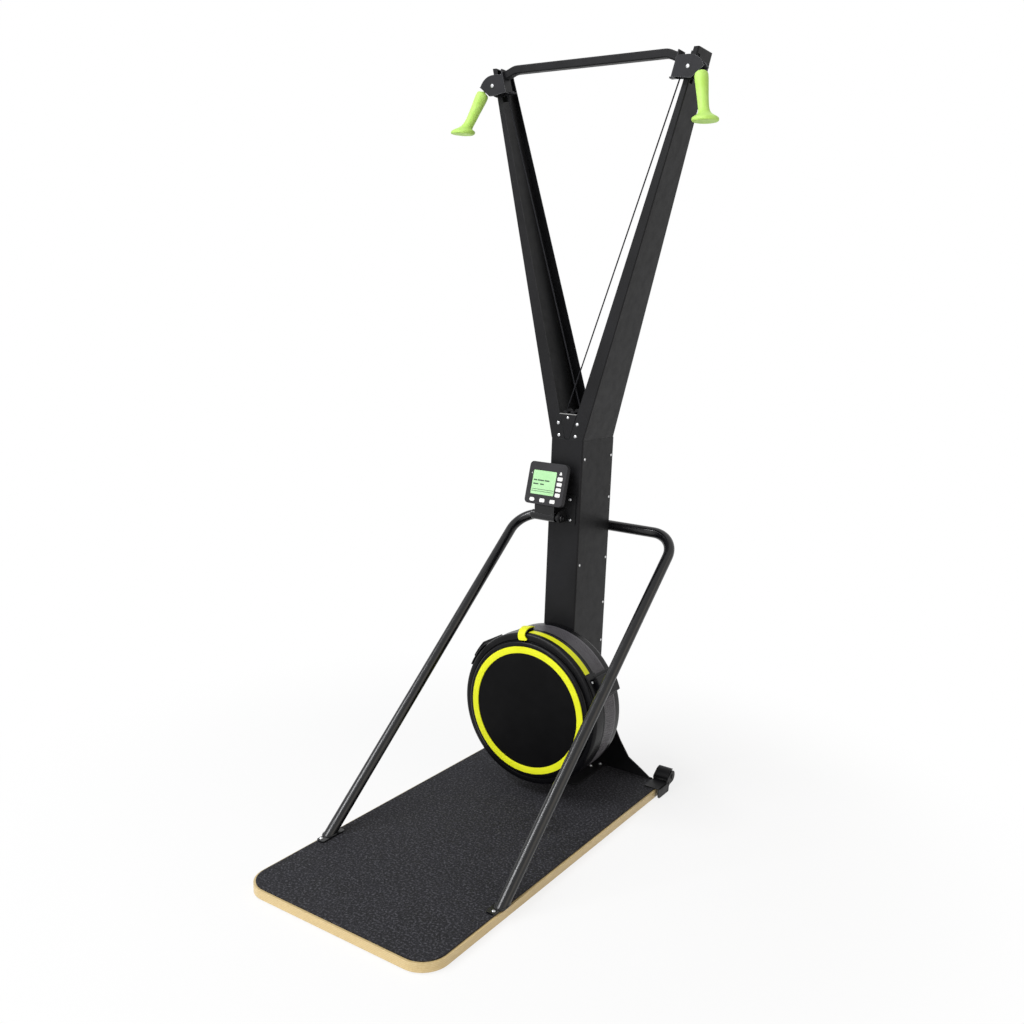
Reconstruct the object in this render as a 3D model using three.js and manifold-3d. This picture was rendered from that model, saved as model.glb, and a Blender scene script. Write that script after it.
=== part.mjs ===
// Standing ski trainer: platform, column, two cord arms, air flywheel drum, rail and monitor.
// Millimetres, +Z up. Lengths along Y are counted from the platform's front edge, and the whole
// machine is then moved back by half its length, so the origin is the centre of its footprint.
import * as THREE from 'three';
import { mergeVertices } from 'three/addons/utils/BufferGeometryUtils.js';
import Module from 'manifold-3d';

// Clearances
const fit = 0.3;
const overrun = 4;

// Platform
const platformLength = 1150;
const platformWidth = 600;
const platformCorner = 70;
const platformRearCorner = 12;
const footThick = 3;
const footWidth = 45;
const footInset = 60;
const boardThick = 23;
const matThick = 3.5;
const matInset = 5;

// Foot bracket
const footPlateThick = 5;
const footPlateHalfWidth = 95;
const footPlateAhead = 6.5;
const footPlateCorner = 14;
const gussetThick = 5;
const gussetInset = 40;
const gussetHalfWidth = platformWidth / 2 - gussetInset;
const gussetHeight = 252;

// Transport rollers
const rollerRadius = 20.5;
const rollerWidth = 41;
const rollerInset = 8;
const rollerHeight = 43;
const rollerBehind = 24.5;
const rollerGroove = 2.5;
const axleRadius = 5;
const cheekThick = 3;
const cheekGap = 2;
const cheekReach = 64;
const cheekRise = 18;
const rollerLegEnd = 1.5;

// Column, set from the platform's rear edge
const columnHalfWidth = 54.2;
const columnDepth = 179.5;
const columnSetback = 9;
const columnBack = platformLength - columnSetback;
const columnFront = columnBack - columnDepth;
const columnBend = 6;
const sheet = 3;
const coverFlange = 22;
const kinkHeight = 1089;

// Arms
const armTopHeight = 2118;
const armFootInner = 8;
const armTopInner = 309.3;
const armTopOuter = 323.7;
const armFrontTaper = 25.7;
const armBackTaper = 70.4;
const armTopFront = columnFront + armFrontTaper;
const armTopBack = columnBack - armBackTaper;
const armBend = 4;

// Tie plates in the crotch of the arms
const tieThick = 3;
const tieBelow = 50;
const tieAbove = 71;
const tieSideGap = 5;
const lipHalfWidth = 28;
const lipDepth = 15;
const guideSpread = 12;
const guideAboveTie = 4;
const guideStudRadius = 3;

// Cords and pulleys, hung from the tops of the arms
const cordDiameter = 4;
const cordBehindArm = 6.8;
const cordPlane = armTopFront + cordBehindArm;
const cordCrossing = 3;
const pulleyInset = 3.3;
const pulleySpread = armTopInner - pulleyInset;
const pulleyDrop = 51;
const pulleyHeight = armTopHeight - pulleyDrop;
const pulleyCordRadius = 26;
const pulleyRimDrop = 0.5;
const pulleyWidth = 8;
const pulleyWebThick = 4;
const pulleyRim = 6;
const pulleyHub = 9;
const pinRadius = 4;
const pinHead = 3;
const pinHeadRadius = 7;
const guideCordRadius = 11.3;
const guideWidth = 7;
const spoolCordRadius = 25;
const spoolWidth = 14;
const spoolFlange = 5;
const spoolFlangeThick = 2;
const spoolBehindFront = 30.5;
const spoolPitch = 20;

// Pulley brackets, set from the pulley's axis and the cord's plane
const bracketAhead = 28;
const bracketBehind = 5;
const bracketThick = 3;
const bracketTopReach = 34;
const bracketTopRise = 29;
const bracketBottomReach = 47;
const bracketBottomDrop = 20;
const bracketTipReach = 46;
const bracketHeelReach = 10;
const bracketHeelDrop = 27;
const bracketArc = 46;
const webRise = 43;
const hookDepth = 14;
const hookThick = 4;
const spacerRadius = 9;

// Crossbar
const barSection = 22;
const barAhead = 18;
const barStraightReach = 66;
const barDroopAngle = 22;
const barBend = 45;
const barWall = 2.5;

// Handles, hung below the top pulleys
const handleTopReach = 32;
const handleTopAhead = 13;
const handleTopDrop = 17;
const handleOut = 47;
const handleAhead = 51;
const handleFall = 124;
const gripTopRadius = 18;
const gripWaistRadius = 15.5;
const gripCollar = 6;
const discRadius = 38.5;
const discThick = 10;

// Rail
const railRadius = 15;
const railFootInset = 11.7;
const railFootSpread = platformWidth / 2 - railFootInset;
const railFootBack = 291;
const railLeanIn = 8.3;
const railTopSpread = railFootSpread - railLeanIn;
const railTopHeight = 812.5;
const railBend = 80;
const railFootThick = 4;
const railFootHalfWidth = 19;
const railFootHalfLength = 42;
const saddleHalfWidth = 45;
const saddleHalfHeight = 30;
const saddleThick = 4;

// Drum
const drumHeight = 301.4;
const drumDepth = 158.5;
const drumFace = columnFront - drumDepth;
const ringProud = 1.8;
const ringThick = 3.5;
const ringOuter = 195.9;
const ringInner = 171.9;
const faceRadius = 208;
const faceFillet = 8;
const rimStepDepth = 13;
const rimStep = drumFace + rimStepDepth;
const rimRadius = 230.3;
const rimFillet = 5;
const coverWall = 3.3;
const coverDepth = 57;
const coverBack = drumFace + coverDepth;
const bandWidth = 70;
const bandBack = coverBack + bandWidth;
const bandThick = 2.2;
const bandSetback = 0.6;
const bandWindows = 32;
const bandRim = 5;
const bandBar = 6;
const housingFillet = 12;
const housingBore = 62;
const housingWall = 3.5;
const intakeSlots = 16;
const intakeInner = 82;
const intakeOuter = 186;
const intakeRib = 10;

// Clips that hold the drum's covers together
const clipOverCover = 15;
const clipOverHousing = 5;
const clipThick = 11;
const clipBoss = 7;
const clipBossLength = 34;
const rightClipAngle = 26;
const leftClipAngle = 148;
const clipWidth = 58;

// Damper
const damperAngle = 98;
const damperTravelAngle = 55;
const leverWidth = 38;
const leverThick = 3.6;
const leverFoot = 212;
const leverOverBand = 5;
const leverGrip = 3;
const leverGripLength = 14;
const stemWidth = 22;
const stemThick = 3.6;
const shutterRadius = 223;
const shutterThick = 2.6;
const shutterAngle = 52;
const scaleSetback = 27;
const scaleWidth = 12;
const scaleThick = 1;
const scaleStartAngle = 94;
const scaleEndAngle = 40;

// Flywheel, shaft and bearings
const fanRadius = 213;
const fanBladeRoot = 112;
const fanBladeTip = 209;
const fanSetback = 35;
const fanWidth = 87.5;
const fanDiscThick = 3;
const fanBlades = 16;
const bladeThick = 2;
const bladeSweepAngle = 34;
const wheelRadius = 104;
const wheelThick = 16;
const hubRadius = 24;
const shaftRadius = 8.5;
const shaftNut = 14;
const shaftNutThick = 8;
const bearingRadius = 17.5;
const bearingWidth = 12;
const bearingShield = 1;
const bearingLand = 3;
const bearingWall = 6;

// Monitor
const monitorWidth = 128;
const monitorHeight = 123.5;
const monitorMiddle = -33;
const monitorAhead = 66.5;
const monitorBottom = 900;
const monitorLeanAngle = 14.15;
const monitorDepth = 22;
const monitorWall = 2.5;
const bezelThick = 5;
const bezelCorner = 12;
const bezelEdge = 3;
const windowWidth = 79.4;
const windowHeight = 70.5;
const windowSide = -8.7;
const windowMiddle = 63.8;
const windowCorner = 3;
const lensThick = 5;
const lensSetback = 1;
const keySide = 45.6;
const keyTop = 96;
const keyPitch = 15.8;
const keyCount = 5;
const keyWidth = 10;
const keyHeight = 9;
const keyCorner = 3;
const keyProud = 1.4;
const keyDepth = 8;
const keyTravel = 1.2;
const lowKeyHeight = 12.5;
const lowKeyMiddle = -3;
const lowKeyPitch = 35;
const lowKeyCount = 3;
const lowKeyWidth = 17;
const lowKeyTall = 11;

// Monitor hinge, between the column and the monitor
const hingeAhead = 31.5;
const hingeDrop = 38.5;
const sleeveRadius = 14.5;
const sleeveLeft = -87;
const sleeveRight = -5;
const hingePinRadius = 6;
const hingeHead = 5;
const hingeHeadRadius = 9.5;
const leafLeft = -73;
const leafThick = 3;
const leafRise = 58;
const earLeft = 5;
const earThick = 6;
const earRadius = 14;
const bracketPlateLeft = 5;
const bracketPlateRight = 42;
const bracketPlateDrop = 21.5;
const bracketPlateRise = 66.5;
const bracketPlateThick = 3;

// Finishes
const black = () => new THREE.MeshStandardMaterial({ color: 0x2b2b2d, roughness: 0.42, metalness: 0.25 });
const satin = () => new THREE.MeshStandardMaterial({ color: 0x4a4a4d, roughness: 0.5, metalness: 0.3 });
const plastic = () => new THREE.MeshStandardMaterial({ color: 0x1b1b1d, roughness: 0.5, metalness: 0 });
const rubber = () => new THREE.MeshStandardMaterial({ color: 0x3f3f42, roughness: 0.9, metalness: 0 });
const wood = () => new THREE.MeshStandardMaterial({ color: 0xe8cf95, roughness: 0.6, metalness: 0 });
const yellow = () => new THREE.MeshStandardMaterial({ color: 0xf2f523, roughness: 0.45, metalness: 0 });
const lime = () => new THREE.MeshStandardMaterial({ color: 0xc8f070, roughness: 0.55, metalness: 0 });
const steel = () => new THREE.MeshStandardMaterial({ color: 0xb8babd, roughness: 0.3, metalness: 1 });
const greySteel = () => new THREE.MeshStandardMaterial({ color: 0x8a8a88, roughness: 0.45, metalness: 0.7 });
const cordFinish = () => new THREE.MeshStandardMaterial({ color: 0x1e1e20, roughness: 0.85, metalness: 0 });
const display = () => new THREE.MeshStandardMaterial({ color: 0xc4f0bb, roughness: 0.2, metalness: 0 });
const keyFinish = () => new THREE.MeshStandardMaterial({ color: 0xf0f0f0, roughness: 0.5, metalness: 0 });

// Solids
const wasm = await Module();
wasm.setup();

function toSolid(geometry) {
  const bare = geometry.index ? geometry.toNonIndexed() : geometry.clone();
  bare.deleteAttribute('normal');
  bare.deleteAttribute('uv');
  const merged = mergeVertices(bare, 1e-4);
  const corners = merged.attributes.position.array;
  const faces = [];
  let volume = 0;
  const a = new THREE.Vector3();
  const b = new THREE.Vector3();
  const c = new THREE.Vector3();
  const index = merged.index.array;
  for (let i = 0; i < index.length; i += 3) {
    const [p, q, r] = [index[i], index[i + 1], index[i + 2]];
    if (p === q || q === r || r === p) continue;
    faces.push(p, q, r);
    a.fromArray(corners, 3 * p);
    b.fromArray(corners, 3 * q);
    c.fromArray(corners, 3 * r);
    volume += a.dot(b.cross(c));
  }
  if (volume < 0) {
    for (let i = 0; i < faces.length; i += 3) [faces[i], faces[i + 1]] = [faces[i + 1], faces[i]];
  }
  const mesh = new wasm.Mesh({
    numProp: 3,
    vertProperties: new Float32Array(corners),
    triVerts: new Uint32Array(faces),
  });
  return new wasm.Manifold(mesh);
}

function toGeometry(solid) {
  const mesh = solid.getMesh();
  const geometry = new THREE.BufferGeometry();
  geometry.setAttribute('position', new THREE.BufferAttribute(new Float32Array(mesh.vertProperties), 3));
  geometry.setIndex(new THREE.BufferAttribute(new Uint32Array(mesh.triVerts), 1));
  return geometry;
}

function join(first, ...others) {
  let solid = toSolid(first);
  for (const other of others) solid = solid.add(toSolid(other));
  return toGeometry(solid);
}

function cut(first, ...tools) {
  let solid = toSolid(first);
  for (const tool of tools) solid = solid.subtract(toSolid(tool));
  return toGeometry(solid);
}

function mirrored(geometry) {
  return toGeometry(toSolid(geometry.clone().scale(-1, 1, 1)));
}

// Outlines
function outline(points) {
  return new THREE.Shape(points.map(([x, y]) => new THREE.Vector2(x, y)));
}

// A polygon whose corners are rounded by arcs; each point is [x, y, radius].
function roundedOutline(points, steps = 3) {
  const result = [];
  points.forEach(([x, y, radius = 0], i) => {
    const corner = new THREE.Vector2(x, y);
    if (!radius) {
      result.push(corner);
      return;
    }
    const [px, py] = points[(i + points.length - 1) % points.length];
    const [nx, ny] = points[(i + 1) % points.length];
    const before = new THREE.Vector2(px, py).sub(corner).normalize();
    const after = new THREE.Vector2(nx, ny).sub(corner).normalize();
    const half = Math.acos(THREE.MathUtils.clamp(before.dot(after), -1, 1)) / 2;
    const middle = before.clone().add(after).normalize();
    const centre = middle.multiplyScalar(radius / Math.sin(half)).add(corner);
    const reach = radius / Math.tan(half);
    const from = before.multiplyScalar(reach).add(corner).sub(centre);
    const to = after.multiplyScalar(reach).add(corner).sub(centre);
    const turn = Math.atan2(from.cross(to), from.dot(to));
    for (let k = 0; k <= steps; k += 1) {
      const point = from.clone().rotateAround(new THREE.Vector2(), (turn * k) / steps);
      result.push(point.add(centre));
    }
  });
  return new THREE.Shape(result);
}

function rectangle(x0, y0, x1, y1, radius = 0, steps = 3) {
  return roundedOutline([[x0, y0, radius], [x1, y0, radius], [x1, y1, radius], [x0, y1, radius]], steps);
}

function circle(radius, x = 0, y = 0) {
  const shape = new THREE.Path();
  shape.absarc(x, y, radius, 0, 2 * Math.PI, false);
  return shape;
}

// Plates
function slab(shape, z0, z1, curveSegments = 12) {
  const geometry = new THREE.ExtrudeGeometry(shape, { depth: z1 - z0, bevelEnabled: false, curveSegments });
  return geometry.translate(0, 0, z0);
}

// Outline in X and Z, thickness along Y.
function frontPlate(shape, y0, y1, curveSegments = 12) {
  const geometry = new THREE.ExtrudeGeometry(shape, { depth: y1 - y0, bevelEnabled: false, curveSegments });
  return geometry.rotateX(Math.PI / 2).translate(0, y1, 0);
}

// Outline in Y and Z, thickness along X.
function sidePlate(shape, x0, x1, curveSegments = 12) {
  const geometry = new THREE.ExtrudeGeometry(shape, { depth: x1 - x0, bevelEnabled: false, curveSegments });
  return geometry.rotateX(Math.PI / 2).rotateZ(Math.PI / 2).translate(x0, 0, 0);
}

function block(x0, x1, y0, y1, z0, z1) {
  const geometry = new THREE.BoxGeometry(x1 - x0, y1 - y0, z1 - z0);
  return geometry.translate((x0 + x1) / 2, (y0 + y1) / 2, (z0 + z1) / 2);
}

// Revolved solids; a profile is a list of [radius, place along the axis].
function revolve(profile, segments = 32) {
  const points = profile.map(([r, y]) => new THREE.Vector2(r, y));
  return new THREE.LatheGeometry(points, segments);
}

function revolveHollow(profile, segments = 32) {
  return revolve([...profile, profile[0]], segments);
}

function alongX(geometry) {
  return geometry.rotateZ(-Math.PI / 2);
}

function rodAlongY(radius, y0, y1, segments = 20) {
  return revolve([[0, y0], [radius, y0], [radius, y1], [0, y1]], segments);
}

// A quarter arc of a profile from one angle to another, in degrees.
function profileArc(r, y, radius, from, to, steps = 3) {
  const points = [];
  for (let k = 0; k <= steps; k += 1) {
    const angle = THREE.MathUtils.degToRad(from + ((to - from) * k) / steps);
    points.push([r + radius * Math.cos(angle), y + radius * Math.sin(angle)]);
  }
  return points;
}

// A curved block round the drum's axis, between two radii and two angles in degrees.
function arcBlock(inner, outer, from, to, y0, y1, stepDegrees = 6) {
  const steps = Math.max(1, Math.ceil(Math.abs(to - from) / stepDegrees));
  const points = [];
  for (let k = 0; k <= steps; k += 1) {
    const angle = THREE.MathUtils.degToRad(from + ((to - from) * k) / steps);
    points.push(new THREE.Vector2(outer * Math.cos(angle), outer * Math.sin(angle)));
  }
  for (let k = steps; k >= 0; k -= 1) {
    const angle = THREE.MathUtils.degToRad(from + ((to - from) * k) / steps);
    points.push(new THREE.Vector2(inner * Math.cos(angle), inner * Math.sin(angle)));
  }
  return frontPlate(new THREE.Shape(points), y0, y1);
}

const arcDegrees = (length, radius) => THREE.MathUtils.radToDeg(length / radius);

// Swept tubes
class Route extends THREE.Curve {
  constructor(points, startTangent, endTangent) {
    super();
    this.points = points;
    this.startTangent = startTangent;
    this.endTangent = endTangent;
  }

  getPoint(t, target = new THREE.Vector3()) {
    const place = t * (this.points.length - 1);
    const i = Math.min(Math.floor(place), this.points.length - 2);
    return target.lerpVectors(this.points[i], this.points[i + 1], place - i);
  }

  getPointAt(u, target) {
    return this.getPoint(u, target);
  }

  getTangent(t, target = new THREE.Vector3()) {
    const last = this.points.length - 1;
    const i = Math.round(t * last);
    if (i === 0 && this.startTangent) return target.copy(this.startTangent);
    if (i === last && this.endTangent) return target.copy(this.endTangent);
    const after = this.points[Math.min(i + 1, last)].clone().sub(this.points[i]).normalize();
    const before = this.points[i].clone().sub(this.points[Math.max(i - 1, 0)]).normalize();
    return target.addVectors(before, after).normalize();
  }

  getTangentAt(u, target) {
    return this.getTangent(u, target);
  }
}

function polygonSection(radius, sides) {
  const points = [];
  for (let k = 0; k < sides; k += 1) {
    const angle = (2 * Math.PI * k) / sides;
    points.push(new THREE.Vector2(radius * Math.cos(angle), radius * Math.sin(angle)));
  }
  return new THREE.Shape(points);
}

function sweep(section, points, startTangent, endTangent) {
  const extrudePath = new Route(points, startTangent, endTangent);
  return new THREE.ExtrudeGeometry(section, { steps: points.length - 1, bevelEnabled: false, extrudePath });
}

// A polyline in space whose inner corners are rounded to one radius.
function filletedRoute(corners, radius, steps = 8) {
  const points = [corners[0]];
  for (let i = 1; i < corners.length - 1; i += 1) {
    const before = corners[i - 1].clone().sub(corners[i]).normalize();
    const after = corners[i + 1].clone().sub(corners[i]).normalize();
    const half = before.angleTo(after) / 2;
    const start = before.clone().multiplyScalar(radius / Math.tan(half)).add(corners[i]);
    const middle = before.clone().add(after).normalize();
    const centre = middle.multiplyScalar(radius / Math.sin(half)).add(corners[i]);
    const spoke = start.clone().sub(centre);
    const axis = after.clone().cross(before).normalize();
    for (let k = 0; k <= steps; k += 1) {
      const turn = ((Math.PI - 2 * half) * k) / steps;
      points.push(spoke.clone().applyAxisAngle(axis, turn).add(centre));
    }
  }
  points.push(corners[corners.length - 1]);
  return points;
}

// A straight solid between two outlines that lie at two heights.
function loft(lower, z0, upper, z1) {
  const shapePoints = lower.map(([x, y]) => new THREE.Vector2(x, y));
  const caps = THREE.ShapeUtils.triangulateShape(shapePoints, []);
  const corners = [...lower.map(([x, y]) => [x, y, z0]), ...upper.map(([x, y]) => [x, y, z1])];
  const count = lower.length;
  const faces = [];
  for (const [a, b, c] of caps) faces.push(c, b, a, a + count, b + count, c + count);
  for (let i = 0; i < count; i += 1) {
    const next = (i + 1) % count;
    faces.push(i, next, next + count, i, next + count, i + count);
  }
  const geometry = new THREE.BufferGeometry();
  geometry.setAttribute('position', new THREE.Float32BufferAttribute(corners.flat(), 3));
  geometry.setIndex(faces);
  return geometry;
}

// Scene graph
const group = new THREE.Group();
const machine = new THREE.Group();
const rollerBack = platformLength + rollerBehind;
const overallLength = rollerBack + rollerRadius;
machine.position.y = -overallLength / 2;
group.add(machine);

function place(name, geometry, material, parent = machine) {
  const mesh = new THREE.Mesh(toGeometry(toSolid(geometry)), material);
  mesh.name = name;
  parent.add(mesh);
  return mesh;
}

function placePair(name, rightGeometry, material) {
  place(`${name}_right`, rightGeometry, material());
  place(`${name}_left`, mirrored(rightGeometry), material());
}

// Platform
const boardBottom = footThick + fit;
const boardTop = boardBottom + boardThick;
const matTop = boardTop + fit + matThick;

function platformShape(inset) {
  const side = platformWidth / 2 - inset;
  const corner = platformCorner - inset;
  const rear = platformRearCorner;
  return roundedOutline([
    [-side, inset, corner],
    [side, inset, corner],
    [side, platformLength - inset, rear],
    [-side, platformLength - inset, rear],
  ], 8);
}

function platformBoard() {
  return slab(platformShape(0), boardBottom, boardTop);
}

function platformMat() {
  return slab(platformShape(matInset), boardTop + fit, matTop);
}

function footStrip(back) {
  const side = platformWidth / 2 - footInset;
  return slab(rectangle(-side, back, side, back + footWidth, footWidth / 4), 0, footThick);
}

place('platform_board', platformBoard(), wood());
place('platform_mat', platformMat(), rubber());
place('front_foot_strip', footStrip(footInset), rubber());
place('rear_foot_strip', footStrip(platformLength - footInset - footWidth), rubber());

// Foot bracket: base plate and the flared gusset behind the column
const footBottom = matTop + fit;
const footTop = footBottom + footPlateThick;
const gussetFront = columnBack + fit;

function gussetShape() {
  const flareShares = [[0.47, 0.52], [0.533, 0.395], [0.664, 0.2], [0.829, 0.1], [0.958, 0.016], [1, 0.016]];
  const neck = columnHalfWidth + fit;
  const right = flareShares.map(([side, rise]) => [side * gussetHalfWidth, footBottom + rise * gussetHeight]);
  right.unshift([neck, footBottom + gussetHeight]);
  right.push([gussetHalfWidth, footBottom]);
  const left = right.map(([x, z]) => [-x, z]).reverse();
  return outline([...left, ...right]);
}

function baseBracket() {
  const side = footPlateHalfWidth;
  const plateBack = gussetFront + gussetThick;
  const plate = slab(
    roundedOutline([
      [-side, columnFront - footPlateAhead, footPlateCorner],
      [side, columnFront - footPlateAhead, footPlateCorner],
      [side, plateBack],
      [-side, plateBack],
    ]),
    footBottom,
    footTop,
  );
  return join(plate, frontPlate(gussetShape(), gussetFront, plateBack));
}

place('base_bracket', baseBracket(), black());

// Transport rollers in folded brackets round the rear corners
const rollerOuter = platformWidth / 2 + rollerInset;
const rollerInner = rollerOuter - rollerWidth;

function rollerBracket() {
  const outerCheek = rollerOuter + cheekGap;
  const innerCheek = rollerInner - cheekGap - cheekThick;
  const plateFront = platformLength - cheekReach;
  const plateBack = platformLength + fit + cheekThick;
  const plateTop = footBottom + cheekThick;
  const top = block(innerCheek, outerCheek + cheekThick, plateFront, plateBack, footBottom, plateTop);
  const fold = block(innerCheek, outerCheek + cheekThick, platformLength + fit, plateBack, rollerLegEnd, plateTop);
  const outer = cheekShape(plateFront, rollerLegEnd, plateTop);
  const inner = cheekShape(platformLength + fit, rollerLegEnd, plateTop);
  const axle = alongX(new THREE.CylinderGeometry(axleRadius, axleRadius, outerCheek - innerCheek, 12));
  axle.translate((outerCheek + innerCheek) / 2, rollerBack, rollerHeight);
  return join(
    top,
    fold,
    sidePlate(outer, outerCheek, outerCheek + cheekThick),
    sidePlate(inner, innerCheek, innerCheek + cheekThick),
    axle,
  );
}

// A cheek's outline in Y and Z, with a round end about the axle.
function cheekShape(front, bottom, top) {
  const end = cheekRise;
  const roundShare = 0.9;
  const easeShare = 0.4;
  return roundedOutline([
    [front, bottom, 0],
    [platformLength + cheekThick, bottom, 0],
    [rollerBack + end, rollerHeight - end, end * roundShare],
    [rollerBack + end, rollerHeight + end, end * roundShare],
    [rollerBack - end, rollerHeight + end, end * easeShare],
    [platformLength - cheekThick, top, 0],
    [front, top, 0],
  ], 3);
}

function transportRoller() {
  const bore = axleRadius + fit;
  const half = rollerWidth / 2;
  const groove = rollerRadius - rollerGroove;
  const profile = [
    [bore, -half],
    [groove, -half],
    [rollerRadius, rollerGroove - half],
    [rollerRadius, -rollerGroove],
    [groove, 0],
    [rollerRadius, rollerGroove],
    [rollerRadius, half - rollerGroove],
    [groove, half],
    [bore, half],
  ];
  const roller = alongX(revolveHollow(profile, 12));
  return roller.translate((rollerOuter + rollerInner) / 2, rollerBack, rollerHeight);
}

placePair('roller_bracket', rollerBracket(), black);
placePair('transport_roller', transportRoller(), plastic);

// Column: folded front shell with the front bearing's seat, and a folded rear cover with the rear one
const columnBottom = footTop + fit;
const columnTop = kinkHeight - fit;
const seatRadius = bearingRadius + fit;
const frontBearing = columnFront + sheet / 2;
const rearBearing = columnBack - sheet - fit - bearingWidth;

function columnShell() {
  const side = columnHalfWidth;
  const inside = side - sheet;
  const shape = roundedOutline([
    [-side, columnBack],
    [-side, columnFront, columnBend],
    [side, columnFront, columnBend],
    [side, columnBack],
    [inside, columnBack],
    [inside, columnFront + sheet, columnBend - sheet],
    [-inside, columnFront + sheet, columnBend - sheet],
    [-inside, columnBack],
  ], 4);
  const shell = slab(shape, columnBottom, columnTop);
  const seat = rodAlongY(seatRadius + bearingWall, columnFront, frontBearing + bearingWidth, 24);
  const bore = rodAlongY(seatRadius, columnFront - overrun, frontBearing + bearingWidth + overrun, 24);
  return cut(join(shell, seat.translate(0, 0, drumHeight)), bore.translate(0, 0, drumHeight));
}

function columnRearCover() {
  const side = columnHalfWidth - sheet - fit;
  const inside = side - sheet;
  const front = columnBack - coverFlange;
  const shape = roundedOutline([
    [-side, front],
    [-inside, front],
    [-inside, columnBack - sheet, columnBend - sheet],
    [inside, columnBack - sheet, columnBend - sheet],
    [inside, front],
    [side, front],
    [side, columnBack, columnBend],
    [-side, columnBack, columnBend],
  ], 3);
  const shell = slab(shape, columnBottom, columnTop);
  const seat = rodAlongY(seatRadius + bearingWall, rearBearing, columnBack - sheet / 2, 24);
  const bore = rodAlongY(seatRadius, rearBearing - overrun, columnBack - sheet, 24);
  return cut(join(shell, seat.translate(0, 0, drumHeight)), bore.translate(0, 0, drumHeight));
}

place('column_shell', columnShell(), black());
place('column_rear_cover', columnRearCover(), black());

// Arms: tapered channels, open towards the inside of the V, with closed tops
const armRise = armTopHeight - kinkHeight;
const bracketBackFace = cordPlane + bracketBehind + bracketThick;

function armAt(height) {
  const share = (height - kinkHeight) / armRise;
  return {
    inner: THREE.MathUtils.lerp(armFootInner, armTopInner, share),
    outer: THREE.MathUtils.lerp(columnHalfWidth, armTopOuter, share),
    front: THREE.MathUtils.lerp(columnFront, armTopFront, share),
    back: THREE.MathUtils.lerp(columnBack, armTopBack, share),
  };
}

function armSection(height) {
  const { inner, outer, front, back } = armAt(height);
  const shape = roundedOutline([
    [inner, front],
    [outer, front, armBend],
    [outer, back, armBend],
    [inner, back],
    [inner, back - sheet],
    [outer - sheet, back - sheet],
    [outer - sheet, front + sheet],
    [inner, front + sheet],
  ], 3);
  return shape.getPoints().map((p) => [p.x, p.y]);
}

function armCapSection(height) {
  const { inner, outer, front, back } = armAt(height);
  const wall = sheet / 2;
  return [
    [inner, front + wall],
    [outer - wall, front + wall],
    [outer - wall, back - wall],
    [inner, back - wall],
  ];
}

function arm() {
  const capBottom = armTopHeight - sheet;
  const channel = loft(armSection(kinkHeight), kinkHeight, armSection(armTopHeight), armTopHeight);
  const cap = loft(armCapSection(capBottom), capBottom, armCapSection(armTopHeight), armTopHeight);
  const slotHalf = pulleyCordRadius + spacerRadius;
  const wall = armAt(pulleyHeight);
  const slotFront = cordPlane - pulleyWidth / 2 - fit;
  const slotBack = bracketBackFace + pinHead + 3 * fit;
  const slot = sidePlate(
    rectangle(slotFront, pulleyHeight - slotHalf, slotBack, pulleyHeight + slotHalf, fit),
    wall.outer - sheet - 2 * spacerRadius,
    wall.outer + 2 * spacerRadius,
  );
  const pinHole = rodAlongY(pinRadius + fit, wall.front - overrun, slotFront + overrun, 20);
  pinHole.translate(pulleySpread, 0, pulleyHeight);
  return cut(join(channel, cap), slot, pinHole);
}

placePair('arm', arm(), black);

// Tie plates in the crotch
const tieTop = kinkHeight + tieAbove;
const tieFrontY = armAt(tieTop).front + sheet + fit;
const guideHeight = tieTop + guideAboveTie;

function tieShape(bottom, low) {
  const foot = columnHalfWidth - sheet - tieSideGap;
  const head = armAt(tieTop).outer - sheet - tieSideGap;
  return roundedOutline([
    [-foot, bottom],
    [foot, bottom],
    [foot, low],
    [head, tieTop - tieSideGap],
    [head - tieSideGap, tieTop],
    [tieSideGap - head, tieTop],
    [-head, tieTop - tieSideGap],
    [-foot, low],
  ]);
}

function yFrontPlate() {
  const back = tieFrontY + tieThick;
  const plate = frontPlate(tieShape(kinkHeight - tieBelow, kinkHeight), tieFrontY, back);
  const lip = slab(
    roundedOutline([
      [-lipHalfWidth, tieFrontY],
      [lipHalfWidth, tieFrontY],
      [lipHalfWidth, back + lipDepth, tieSideGap],
      [-lipHalfWidth, back + lipDepth, tieSideGap],
    ]),
    tieTop - tieThick,
    tieTop,
  );
  const studEnd = cordPlane + cordCrossing + guideWidth / 2 + tieThick;
  const studs = [-guideSpread, guideSpread].map((x) => {
    const boss = join(
      rodAlongY(guideStudRadius, back - tieThick / 2, studEnd, 12),
      rodAlongY(guideStudRadius + tieThick / 2, back - tieThick / 2, back + lipDepth / 2, 12),
    );
    return boss.translate(x, 0, guideHeight);
  });
  const ear = guideStudRadius + tieThick;
  const tabs = [-guideSpread, guideSpread].map((x) =>
    block(x - ear, x + ear, tieFrontY, back, tieTop - tieThick / 2, guideHeight + ear));
  return join(plate, lip, ...tabs, ...studs);
}

function yRearPlate() {
  const back = columnBack - sheet - fit;
  const lean = Math.atan2(columnBack - armTopBack, armRise);
  const low = kinkHeight - tieBelow;
  const foot = columnHalfWidth - 2 * sheet - tieSideGap;
  const lower = block(-foot, foot, back - tieThick, back, low, kinkHeight + tieThick / 2);
  const upper = frontPlate(tieShape(kinkHeight - tieThick / 2, kinkHeight), -tieThick, 0);
  upper.translate(0, 0, -kinkHeight).rotateX(lean).translate(0, back - fit, kinkHeight);
  return join(lower, upper);
}

place('y_front_plate', yFrontPlate(), black());
place('y_rear_plate', yRearPlate(), black());

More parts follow.
